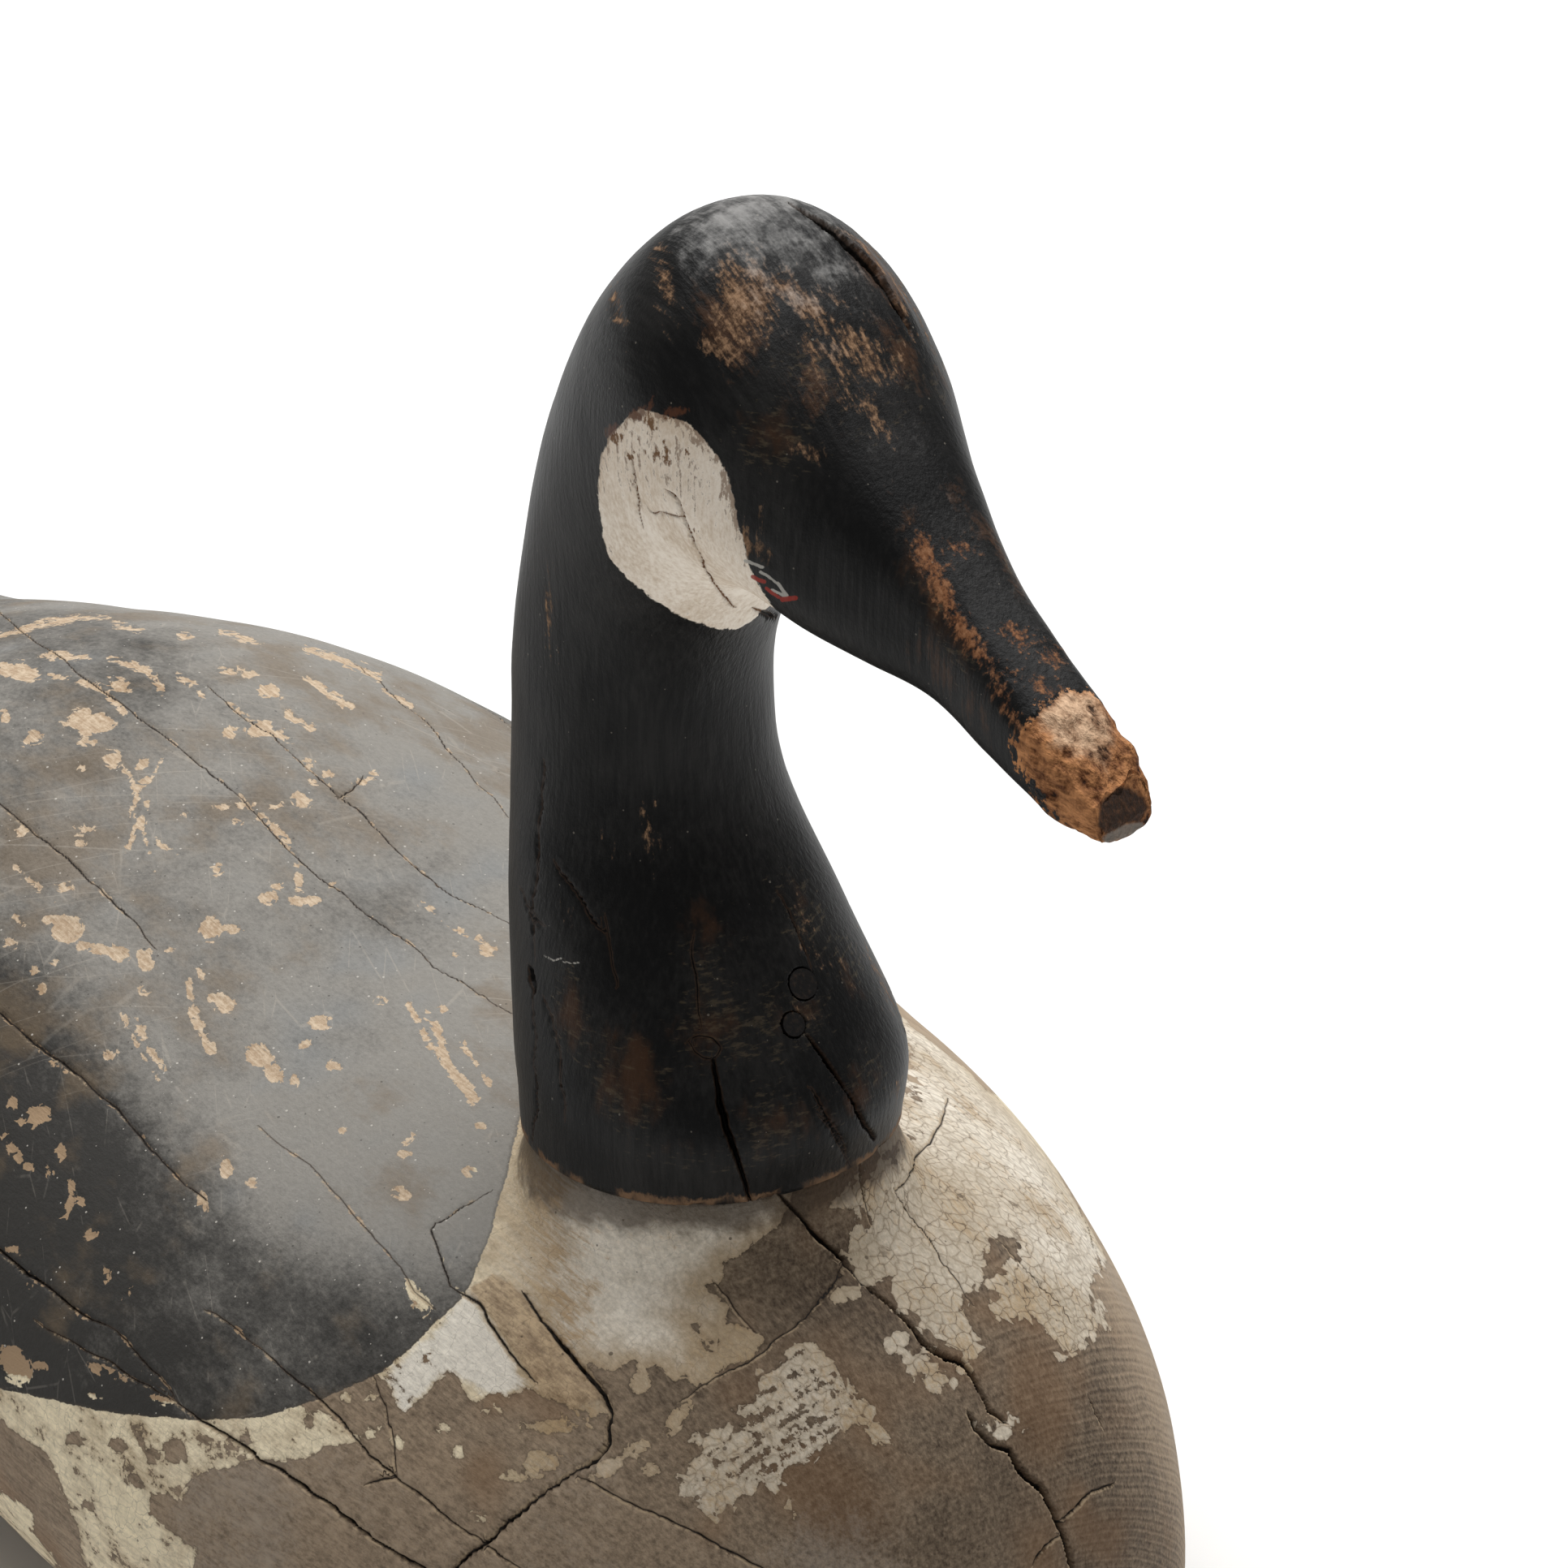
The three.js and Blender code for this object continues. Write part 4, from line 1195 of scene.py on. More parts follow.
def head_detail(points):
    """The length of edge wanted: finest at the eye, the wells and the cracks."""
    pixels = photo_pixels(folded(points))
    asked = [
        np.full(len(points), 2.8),
        1.0 + 0.3 * np.abs(outline_depth(pixels, CHEEK)),
        1.3 + 0.4 * np.abs(worn_depth(pixels)),
        0.8 + 0.25 * np.clip(-outline_depth(pixels, RAW_BILL), 0, None),
        0.4 + 0.4 * np.clip(-stroke_depth(pixels, EYE_WHITE + EYE_RED), 0, None),
        0.9 + 0.25 * np.clip(points[:, 2] - NECK_Z - 2, 0, None),
        crack_detail(points, head_lines),
    ]
    for middle, radius in plugs:
        off_axis, past = well_place(points, middle)
        ring = 0.22 + 0.5 * np.abs(off_axis - radius - WELL_GAP)
        asked.append(np.where(np.abs(past) < 6, ring, COARSEST))
    return np.minimum.reduce(asked)


foot_rows = [-1.0, -0.98, -0.6, -0.25, -0.06, -0.02]
tip_rows = [14.05, 14.35, 14.7, 14.98, 15.0]
head_rows = np.concatenate([foot_rows, np.linspace(0, TIP_ROW, 110), tip_rows])
head_uv, head_faces = fine_net(head_rows, 72, head_skin, head_detail)
head_points = head_skin(head_uv[:, 0], head_uv[:, 1])
head_out = outward(head_points, head_faces)
print("head:", len(head_points), "points,", len(head_faces), "triangles")

# %% The chewed end of the bill
BILL_WAY = np.array([0.864, 0.0, -0.503])
BILL_END_X = 262.0
END_FACES = [
    (np.array([294.1, -3.0, 300.0]), np.array([0.903, 0.163, 0.396])),
    (np.array([296.6, -3.0, 294.2]), np.array([0.985, 0.170, 0.030])),
]


def cut_end(points):
    """Brings what is past each flat cut back onto it, along the bill's own direction."""
    for corner, normal in END_FACES:
        past = np.where(points[:, 0] > BILL_END_X, (points - corner) @ normal, 0.0)
        back = np.clip(past, 0, None) / (BILL_WAY @ normal)
        points = points - BILL_WAY * back[:, None]
    return points


# %% Cutting the head's detail
def crown_lip(points):
    """How far the far lip of the split crown stands up: most at the split's middle."""
    gap, share, _ = line_gap(points, head_lines[CROWN_SPLIT][2], 16.0)
    split = np.array(HEAD_CRACKS[CROWN_SPLIT][2], float)
    pixels = photo_pixels(points)
    beyond = pixels[:, 0] > np.interp(pixels[:, 1], split[:, 1], split[:, 0])
    return 1.1 * ease(9.0, 0.5, gap) * beyond * np.sin(np.pi * share)


def carve_head(points, out, u):
    """Sinks and raises the skin of the head, then pushes in the plug wells.

    Knife work is soft noise that fades at the foot. Worn wood is a little lower than paint,
    the raw tip of the bill is gouged, a little fuller below and cut off, and the foot's
    edge is chipped here and there.
    """
    height = above_foot(points)
    free = ease(0.0, 10.0, height)
    knife = 0.22 * lumps(points, 24.0, 21) + 0.12 * lumps(points, 8.0, 22) - 0.3
    worn = ease(-0.5, 0.8, two_sided(points, out, worn_depth))
    raw = ease(-1.0, 2.5, near_side(points, outline_depth, RAW_BILL))
    gouged = 0.9 * lumps(points * (0.5, 1, 1), 3.6, 23) + 0.45 * lumps(points, 1.7, 24) - 0.1
    under = ease(-0.2, -0.8, out[:, 2]) * ease(276, 292, points[:, 0])
    chipped = ease(1.6, 0.0, np.abs(height)) * ease(0.1, 0.6, lumps(points, 6.0, 25))
    sink, crack_marks = crack_cut(points, out, head_lines)
    move = (free * knife - 0.2 * worn + raw * gouged + 1.4 * under + crown_lip(points)
            - 0.9 * chipped - sink)
    move = np.where((u < 0) | (u > TIP_ROW), 0.0, move)
    cut = cut_end(points + out * move[:, None])
    return cut + plug_axis * well_push(points)[:, None], crack_marks


head_cut, crack_marks = carve_head(head_points, head_out, head_uv[:, 0])
print("bill cut back to x", round(float(head_cut[:, 0].max()), 1), "mm")

# %% The head's marks for its finish
head_marks = {
    **crack_marks,
    **cloudy_marks(head_points),
    "worn": two_sided(head_points, head_out, worn_depth),
    "above_foot": above_foot(head_points),
    "ahead": head_points[:, 0],
    "sky": head_out[:, 2],
}
for mark, places, measure, area in [
        ("cheek", head_points, outline_depth, CHEEK),
        ("cheek_bare", head_points, spot_depth, CHEEK_BARE),
        ("drips", head_points, spot_depth, BROWN_DRIPS),
        ("smeared", head_points, spot_depth, BROWN_SMEARS),
        ("scuffed", head_points, spot_depth, HEAD_SCUFFS),
        ("eye_white", head_points, stroke_depth, EYE_WHITE),
        ("eye_red", head_points, stroke_depth, EYE_RED),
        ("raw", head_cut, outline_depth, RAW_BILL),
        ("pale_raw", head_cut, outline_depth, PALE_BILL),
        ("end_dark", head_cut, outline_depth, END_DARK),
        ("end_band", head_cut, outline_depth, END_BAND)]:
    head_marks[mark] = near_side(places, measure, area)
print("head marks:", ", ".join(head_marks))


# %% Turning the nets into pieces
def make_piece(name, points, faces, marks):
    """A mesh of loose arrays: points in metres, triangles, and one number a point per mark."""
    mesh = bpy.data.meshes.new(name)
    mesh.vertices.add(len(points))
    mesh.vertices.foreach_set("co", (points / 1000).ravel())
    mesh.loops.add(3 * len(faces))
    mesh.loops.foreach_set("vertex_index", faces.ravel().astype(np.int32))
    mesh.polygons.add(len(faces))
    mesh.polygons.foreach_set("loop_start", 3 * np.arange(len(faces), dtype=np.int32))
    mesh.update(calc_edges=True)
    mesh.shade_smooth()
    for mark, values in marks.items():
        layer = mesh.attributes.new(mark, "FLOAT", "POINT")
        layer.data.foreach_set("value", np.asarray(values, np.float32))
    piece = bpy.data.objects.new(name, mesh)
    bpy.context.scene.collection.objects.link(piece)
    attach(piece, "root")
    return piece


body = make_piece("carved_body", body_cut, body_faces, body_marks)
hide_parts("body")
head = make_piece("carved_head", head_cut, head_faces, head_marks)
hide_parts("head_and_neck")
print("pieces made:", body.name, head.name)

# %% [markdown]
# ## A short way to write materials
#
# A material is a recipe: a few patterns, thresholds and mixes. Wiring each one by hand takes
# more lines than the idea deserves, so a small recipe book adds the nodes. A number that
# varies over the wood can be added, multiplied and so on like any other, and each such sum
# becomes a node. All patterns read Object coordinates times a thousand, so a size written
# here is a size in millimetres on the wood, whichever piece it is on. Colours are given as
# the eye sees them, from 0 to 255, and turned into the light values that Blender mixes.


# %% Colours, and numbers that vary over the wood
def tone(red, green, blue):
    """A colour from 0 to 255 a channel, as Blender's linear red, green, blue and alpha."""
    seen = np.array([red, green, blue]) / 255
    light = np.where(seen <= 0.04045, seen / 12.92, ((seen + 0.055) / 1.055) ** 2.4)
    return (*light.tolist(), 1.0)


class Number:
    """A number that varies over a material; arithmetic on it adds Math nodes."""

    def __init__(self, recipe, socket):
        self.recipe, self.socket = recipe, socket

    def __add__(self, other):
        return self.recipe.math("ADD", self, other)

    def __mul__(self, other):
        return self.recipe.math("MULTIPLY", self, other)

    def __sub__(self, other):
        return self.recipe.math("SUBTRACT", self, other)

    def __rsub__(self, other):
        return self.recipe.math("SUBTRACT", other, self)

    def __pow__(self, power):
        return self.recipe.math("POWER", self, power)

    __radd__, __rmul__ = __add__, __mul__


print("a mid grey of 128 mixes as", round(tone(128, 128, 128)[0], 3))


# %% The recipe book
class Recipe:
    """One material; each method adds a node and hands back its result."""

    def __init__(self, name):
        self.material = bpy.data.materials.new(name)
        self.material.use_nodes = True
        self.tree = self.material.node_tree
        self.tree.nodes.clear()
        where = self.node("ShaderNodeTexCoord").outputs["Object"]
        self.place = self.vector("MULTIPLY", where, (1000, 1000, 1000))

    def node(self, kind, values=(), **settings):
        """A node with its settings; each value is a number, or is linked to its input."""
        made = self.tree.nodes.new(kind)
        for setting, value in settings.items():
            setattr(made, setting, value)
        pairs = values.items() if isinstance(values, dict) else enumerate(values)
        for key, value in pairs:
            value = getattr(value, "socket", value)
            if isinstance(value, bpy.types.NodeSocket):
                self.tree.links.new(value, made.inputs[key])
            else:
                made.inputs[key].default_value = value
        return made

    def vector(self, operation, *values):
        return self.node("ShaderNodeVectorMath", values, operation=operation).outputs[0]

    def math(self, operation, *values):
        made = self.node("ShaderNodeMath", values, operation=operation)
        return Number(self, made.outputs[0])

    def most(self, a, b):
        return self.math("MAXIMUM", a, b)

    def least(self, a, b):
        return self.math("MINIMUM", a, b)

    def wave(self, distance, gap):
        """A wave from -1 to 1 that repeats at this gap."""
        return self.math("SINE", distance * (2 * math.pi / gap))

    def step(self, value, low, high):
        """A soft step from 0 at low to 1 at high."""
        values = (value, low, high, 0.0, 1.0)
        made = self.node("ShaderNodeMapRange", values, interpolation_type="SMOOTHSTEP")
        return Number(self, made.outputs[0])

    def marks(self, *names):
        """Marks of the mesh, one number each."""
        made = (self.node("ShaderNodeAttribute", attribute_name=name) for name in names)
        return [Number(self, mark.outputs["Fac"]) for mark in made]

    def xyz(self):
        """The place's three coordinates in millimetres."""
        parts = self.node("ShaderNodeSeparateXYZ", (self.place,)).outputs
        return [Number(self, part) for part in parts]

    def stretched(self, size, stretch, shift):
        """The place in cells of this size, stretched along the axes and shifted."""
        share = tuple(s / size for s in stretch)
        return self.vector("MULTIPLY_ADD", self.place, share, (shift, 1.7 * shift, 0.6 * shift))

    def noise(self, size, detail=2.0, stretch=(1, 1, 1), shift=0.0, rough=0.5):
        """Cloudy noise from about -1 to 1, with features of this size in millimetres."""
        place = self.stretched(size, stretch, shift)
        values = {"Vector": place, "Scale": 1.0, "Detail": detail, "Roughness": rough}
        return self.math("MULTIPLY_ADD", self.node("ShaderNodeTexNoise", values).outputs[0],
                         4.0, -2.0)

    def wobbly(self, size, shift, wobble):
        """The place in cells of this size, with straight lines bent by a little noise."""
        place = self.stretched(size, (1, 1, 1), shift)
        push = self.node("ShaderNodeTexNoise", {"Vector": place, "Scale": 1.2, "Detail": 1.0})
        push = self.vector("SUBTRACT", push.outputs[1], (0.5, 0.5, 0.5))
        return self.vector("MULTIPLY_ADD", push, (wobble, wobble, wobble), place)

    def cells(self, place, feature="F1"):
        """A pattern of cells: the distance it measures, in cells, and each cell's colour."""
        values = {"Vector": place, "Scale": 1.0, "Randomness": 1.0}
        made = self.node("ShaderNodeTexVoronoi", values, feature=feature).outputs
        return Number(self, made[0]), made[1]

    def drawn(self, cell_colour):
        """A random number from 0 to 1 for each cell: the red of its colour."""
        made = self.node("ShaderNodeSeparateColor", (cell_colour,))
        return Number(self, made.outputs[0])

    def specks(self, size, shift, widest):
        """Dots of many widths, one to a cell of this size; the widest is a share of a cell."""
        off_dot, cell_colour = self.cells(self.stretched(size, (1, 1, 1), shift))
        return self.step(self.drawn(cell_colour) ** 3.0 * widest - off_dot, 0.0, 0.03)

    def crack(self, wander):
        """Depth in millimetres inside the nearest crack; negative on the wood beside it."""
        side, half, gap = self.marks("crack_side", "crack_half", "crack_gap")
        return self.least(half - self.math("ABSOLUTE", side + wander), 0.7 - gap)

    def mix(self, a, b, share):
        """Colour a where share is 0, b where it is 1; plain colours are from 0 to 255."""
        a, b = (tone(*c) if isinstance(c, tuple) else c for c in (a, b))
        return self.node("ShaderNodeMix", {0: share, 6: a, 7: b}, data_type="RGBA").outputs[2]

    def ramp(self, value, low, dark, high, pale):
        """The dark colour where a value is low, the pale one where it is high."""
        return self.mix(dark, pale, self.step(value, low, high))

    def shade(self, colour, amount):
        """A colour times a number."""
        return self.node("ShaderNodeVectorMath", {0: colour, 3: amount},
                         operation="SCALE").outputs[0]

    def finish(self, colour, roughness, shine, height=None):
        """The surface: colour, roughness, shine, and any relief in millimetres."""
        values = {"Base Color": colour, "Roughness": roughness, "Specular IOR Level": shine}
        if height is not None:
            relief = {"Height": height, "Distance": 0.001, "Strength": 1.0}
            values["Normal"] = self.node("ShaderNodeBump", relief).outputs[0]
        surface = self.node("ShaderNodeBsdfPrincipled", values)
        self.node("ShaderNodeOutputMaterial", (surface.outputs[0],))
        print(self.material.name, "has", len(self.tree.nodes), "nodes")
        return self.material


# %% [markdown]
# ## The body's finish
#
# Three surfaces lie on each other, and what shows is decided from the top down. Bare wood is
# weathered grey-brown, with fibres along the grain. The block is half a log with its heart
# near the bottom, so its year rings come out as arches where the breast cuts across them.
# The cream is thick and brittle: it has crazed into plates and lets go plate by plate, so its
# edge is moved by whole cells of a Voronoi pattern. The charcoal on the back is thin and
# chalky. Its chips are angular, so they too borrow an edge from small cells.

# %% Bare weathered wood
PITH_Y, PITH_Z = 4.0, 28.0
RING_GAP = 1.35
NARROW_GAP = RING_GAP / 1.73


def year_rings(r, fibre):
    """Distance from the log's heart in millimetres, a little uneven, and its rings as a wave.

    Two waves of different gaps are added, so that some years are wide and others narrow.
    """
    _, y, z = r.xyz()
    (cloud,) = r.marks("cloud")
    heart = r.math("SQRT", (y - PITH_Y) ** 2.0 + (z - PITH_Z) ** 2.0)
    radius = heart + (0.6 * cloud + 0.14 * fibre)
    seen = 0.55 * r.step(y, 0.0, 55.0) + 0.2
    return radius, (0.6 * r.wave(radius, RING_GAP) + 0.4 * r.wave(radius, NARROW_GAP)) * seen


def bare_wood(r, fibre, crumb, ragged, rings):
    """Colour of the bare wood from its rings, fibres and stains, plus painted shade and light."""
    broad, cloud, stained = r.marks("broad", "cloud", "stain")
    _, y, _ = r.xyz()
    light = 0.36 * rings + 0.42 * fibre + 0.40 * crumb + 0.16 * broad + 0.16 * cloud
    # Painted shadow of the neck across the middle of the breast; painted light on both flanks.
    light = light + 0.18 * ragged + 0.38 * r.step(y, -20.0, -75.0) - 0.22
    light = light + r.step(y, 45.0, 80.0)
    colour = r.ramp(light, -1.15, (64, 51, 39), 1.15, (175, 154, 129))
    rust = r.most(0.50 * r.step(cloud - broad, 0.1, 1.4),
                  0.45 * r.step(stained + ragged, -4.0, 5.0))
    colour = r.mix(colour, (122, 90, 60), rust)
    grey = r.step(broad + 0.4 * crumb + 0.3 * ragged, 0.25, 1.3)
    colour = r.mix(colour, (146, 142, 136), 0.34 * grey)
    stain = r.step(0.8 * fibre + 0.6 * crumb, 0.80, 1.35)
    colour = r.mix(colour, (40, 33, 27), 0.65 * stain)
    fleck = r.step(crumb + 0.7 * ragged - 0.3 * fibre, 1.45, 1.75)
    return r.mix(colour, (190, 174, 150), 0.55 * fleck)


# %% Brittle cream paint: where it still holds
PLATE = 3.1
RIDGE_GAP = 1.9
BURIED = 9.0


def cream_edge(r, crumb, ragged, radius, plate):
    """Depth inside the cream in millimetres, past an edge that is torn plate by plate.

    On the flank broad noise tears it further, and in the lacy patch ridges that follow the
    year rings do; elsewhere both are buried too deep to show.
    """
    coat, crackle, cloud, torn, ridged = r.marks("cream_coat", "crackle", "cloud", "torn",
                                                 "ridged")
    edge = coat + plate * (2.2 * crackle + 0.9) + 0.6 * ragged + 0.35 * crumb
    tear = 2.0 * ragged + 1.2 * plate + crumb + cloud + 1.25
    ridge = r.wave(radius + 0.75 * ragged + 0.9 * plate, RIDGE_GAP)
    lace = 0.62 * ridge + 1.1 * ragged + 0.8 * crumb + 0.5 * cloud + 0.50
    edge = r.least(edge, tear + BURIED * (1.0 - torn))
    return r.least(edge, lace + BURIED * (1.0 - ridged))


# %% Brittle cream paint: its colours
def cream_colour(r, fibre, crumb, ragged, edge):
    """The cream's own colour: yellowed, brown by the seat and at its edges, warm on the flank."""
    broad, cloud, crackle, torn, aging = r.marks("broad", "cloud", "crackle", "torn",
                                                 "seat_side")
    ochre, fresh = r.marks("ochre", "fresh")
    colour = r.ramp(broad + 0.3 * crumb + 0.4 * ragged, -1.2, (190, 175, 152),
                    1.2, (236, 227, 212))
    yellow = r.step(cloud + 0.9 * ragged + 0.5 * fibre, -0.3, 1.3)
    colour = r.mix(colour, (178, 154, 120), 0.72 * yellow)
    aged = r.step(aging + 0.5 * cloud + 0.6 * fibre + 0.25 * ragged, 0.1, 1.3) * (1.0 - torn)
    colour = r.mix(colour, (164, 137, 102), 0.85 * aged)
    rubbed = r.step(edge - 1.2 * cloud + 0.8 * ragged, 8.0, 0.5) * (1.0 - r.most(torn, crackle))
    colour = r.mix(colour, (166, 141, 106), 0.70 * rubbed)
    warm = r.ramp(cloud + ragged + 0.3 * fibre, -1.6, (178, 156, 122), 1.0, (240, 226, 194))
    colour = r.mix(colour, warm, 0.85 * torn)
    strip = r.ramp(fibre + ragged + 0.6 * crumb, -1.4, (138, 113, 85), 1.2, (188, 164, 132))
    colour = r.mix(colour, strip, 0.85 * r.step(ochre + 0.8 * ragged, -0.5, 0.8))
    fresh = r.step(fresh + ragged + 0.8 * fibre, -0.8, 1.2)
    colour = r.mix(colour, (230, 224, 213), 0.8 * fresh)
    return r.shade(colour, 0.17 * crumb + 0.13 * fibre + 0.06 * ragged + 1.0)


def cream_paint(r, fibre, crumb, ragged, radius, place):
    """Colour of the cream with its crazing and dirt, and its depth past its torn edge."""
    crackle, cloud, ridged = r.marks("crackle", "cloud", "ridged")
    _, plate_colour = r.cells(place)
    edge = cream_edge(r, crumb, ragged, radius, r.drawn(plate_colour) - 0.5)
    colour = cream_colour(r, fibre, crumb, ragged, edge)
    off_seam, _ = r.cells(place, "DISTANCE_TO_EDGE")
    thin = r.most(r.step(edge, 0.7, 0.0), crackle * r.step(off_seam, 0.16, 0.0))
    colour = r.mix(colour, (140, 118, 90), 0.35 * thin)
    dirt = r.step(0.8 * crumb + 0.5 * ragged + 0.3 * fibre, 0.9, 1.5)
    colour = r.mix(colour, (118, 96, 72), 0.5 * dirt)
    line = r.step(off_seam + 0.014 * crumb, 0.034, 0.008)
    line = line * r.step(ragged + 0.6 * cloud, -1.1, 1.2) * (0.50 * crackle + 0.35)
    line = line * (1.0 - 0.6 * ridged)
    pit = 0.7 * r.specks(3.4, 8.0, 0.16)
    return r.mix(colour, (76, 62, 48), r.most(line, pit)), edge


# %% Chalky charcoal paint: where it is chipped
def back_share(r, crumb, ragged, place):
    """The coat's depth, its small flecks, the share gone in chips, and the share left."""
    broad, coat, chip, gap = r.marks("broad", "back_coat", "chip", "crack_gap")
    edge = coat + 0.35 * ragged + 0.25 * crumb
    _, shard_colour = r.cells(r.vector("MULTIPLY", place, (1.4, 1.4, 1.4)))
    shard = r.drawn(shard_colour) - 0.5
    chip = chip + 1.1 * shard + 0.40 * ragged + 0.34 * crumb
    small = r.noise(2.2, 4.0, (0.6, 1, 1), 13.0, 0.65) + 0.30 * broad
    beside = gap + 0.7 * ragged + 1.4 * shard
    gone = r.most(r.step(chip, 0.0, 0.14), r.step(small, 1.15, 1.28))
    gone = r.most(gone, 0.9 * r.step(beside, -0.25, -0.45))
    return edge, small, gone, r.step(edge, -0.1, 0.12) * (1.0 - gone)


# %% Chalky charcoal paint: its colours
def scratches(r, angle, gap, shift):
    """Fine straight lines this far apart, turned about the upright by an angle in radians."""
    turned_place = r.node("ShaderNodeVectorRotate", {"Vector": r.place, "Angle": angle},
                          rotation_type="Z_AXIS").outputs[0]
    drawn = r.vector("MULTIPLY_ADD", turned_place, (0.12 / gap, 1 / gap, 0.5 / gap),
                     (shift, 0, 0))
    off_line, _ = r.cells(drawn, "DISTANCE_TO_EDGE")
    return r.step(off_line, 0.018, 0.006)


def back_paint(r, fibre, crumb, ragged, edge, small):
    """Colour of the charcoal, and how much chalk and painted light lies on it.

    Chalk lies where the back faces the sky, partly as a painted highlight. The far side
    is painted lighter as a highlight, and the lower flank darker, soot with painted shade.
    """
    broad, cloud, sky, soot_and_shade = r.marks("broad", "cloud", "sky", "soot")
    x, y, _ = r.xyz()
    # Chalk and painted light: lighter facing up and on the far side, darker down the sooty flank.
    chalk_and_light = (sky + 0.18 * broad + 0.16 * cloud - 0.38 * r.step(x, 90.0, -60.0)
            + 0.36 * r.step(x, 50.0, 110.0) + 0.75 * r.step(y, 0.0, 70.0)
            - 0.82 * r.step(soot_and_shade + 6.0 * broad + 4.0 * cloud, -19.0, 5.0))
    lit = r.step(chalk_and_light + 0.16 * crumb + 0.16 * ragged + 0.10 * small, 0.0, 1.15)
    colour = r.mix((54, 52, 49), (142, 138, 131), lit)
    olive = r.step(broad - cloud + 0.6 * ragged, 0.0, 1.5)
    colour = r.mix(colour, (118, 100, 77), 0.50 * olive)
    blue = r.step(cloud - broad, 0.2, 1.5) * r.step(chalk_and_light, 0.45, 0.9)
    colour = r.mix(colour, (122, 129, 134), 0.35 * blue)
    colour = r.shade(colour, 0.12 * crumb + 0.03 * fibre + 1.0)
    lines = r.most(scratches(r, 0.5, 7.0, 1.0) * r.step(cloud + ragged, 0.1, 0.9),
                   scratches(r, -0.9, 9.0, 5.0) * r.step(broad, 0.1, 0.8))
    # Scratches show paler where the back is painted lighter.
    colour = r.mix(colour, (176, 168, 156), lines * (0.18 * lit + 0.14))
    colour = r.mix(colour, (214, 208, 198), 0.65 * r.specks(1.9, 16.0, 0.17))
    colour = r.mix(colour, (38, 34, 30), 0.5 * r.specks(2.1, 17.0, 0.17))
    return r.mix(colour, (70, 62, 52), 0.4 * r.step(edge, 0.8, 0.1)), lit


# %% The body's three coats together
def body_cracks(r, colour, crumb, ragged, back_there):
    """The colour with a pale broken lip on one side of each crack, and painted shade inside."""
    (side,) = r.marks("crack_side")
    hole = r.crack(0.10 * crumb + 0.12 * ragged)
    lip = r.step(hole, -0.80, -0.40) * r.step(ragged + crumb - 0.7 * back_there, -0.5, 0.3)
    colour = r.mix(colour, (186, 164, 134), 0.75 * (lip * r.step(side, -0.05, 0.05)))
    # Painted shade inside each crack, darkest at its core, with some dirt.
    colour = r.mix(colour, (70, 54, 40), 0.6 * r.step(hole, -0.30, 0.0))
    return r.mix(colour, (24, 19, 15), 0.95 * r.step(hole, -0.05, 0.06))


def body_finish(name):
    r = Recipe(name)
    fibre = r.noise(0.9, 3.0, (0.07, 1, 1), 7.7, 0.7)
    crumb = r.noise(1.1, 4.0, (0.8, 1, 1), 5.0, 0.74)
    ragged = r.noise(4.2, 3.0, (0.6, 1, 1), 5.6, 0.6)
    coat, from_seat = r.marks("back_coat", "from_seat")
    radius, rings = year_rings(r, fibre)
    place = r.wobbly(PLATE, 2.0, 0.6)
    wood = bare_wood(r, fibre, crumb, ragged, rings)
    cream, cream_in = cream_paint(r, fibre, crumb, ragged, radius, place)
    back_in, small, gone, back_there = back_share(r, crumb, ragged, place)
    back, lit = back_paint(r, fibre, crumb, ragged, back_in, small)
    # Painted shadow: a dark line on the wood just outside each edge of the cream.
    wood = r.mix(wood, (46, 38, 30), 0.38 * r.step(cream_in, -0.40, -0.05))
    tan = r.ramp(fibre + crumb, -1.0, (172, 147, 120), 1.2, (212, 192, 166))
    # Chips painted paler where the charcoal is lit, a painted highlight.
    tan = r.mix((164, 138, 109), tan, r.step(lit, 0.15, 0.6))
    under = r.mix(wood, tan, gone * r.step(coat, -0.5, 1.0))
    colour = r.mix(under, cream, r.step(cream_in, -0.04, 0.08))
    colour = r.mix(colour, back, back_there)
    colour = body_cracks(r, colour, crumb, ragged, back_there)
    # Painted shadow round the neck's foot, in the brown of its unpainted band.
    colour = r.mix(colour, (66, 52, 39), 0.75 * r.step(from_seat + 0.9 * ragged, 1.5, -0.5))
    relief = fibre * (0.05 - 0.035 * back_there) + 0.06 * crumb + 0.06 * rings
    return r.finish(colour, 0.05 * ragged + 0.72, 0.25, relief)


body.data.materials.append(body_finish("body_paint_worn"))

# %% [markdown]
# ## The head's finish
#
# Black paint on the head is older and glossier, brushed up and down the neck and along the
# bill. Where it has rubbed thin, tan wood shows in streaks that follow the brush, darkest at
# their edges. The cheek is a thin cream over black, so it runs brown at the top.


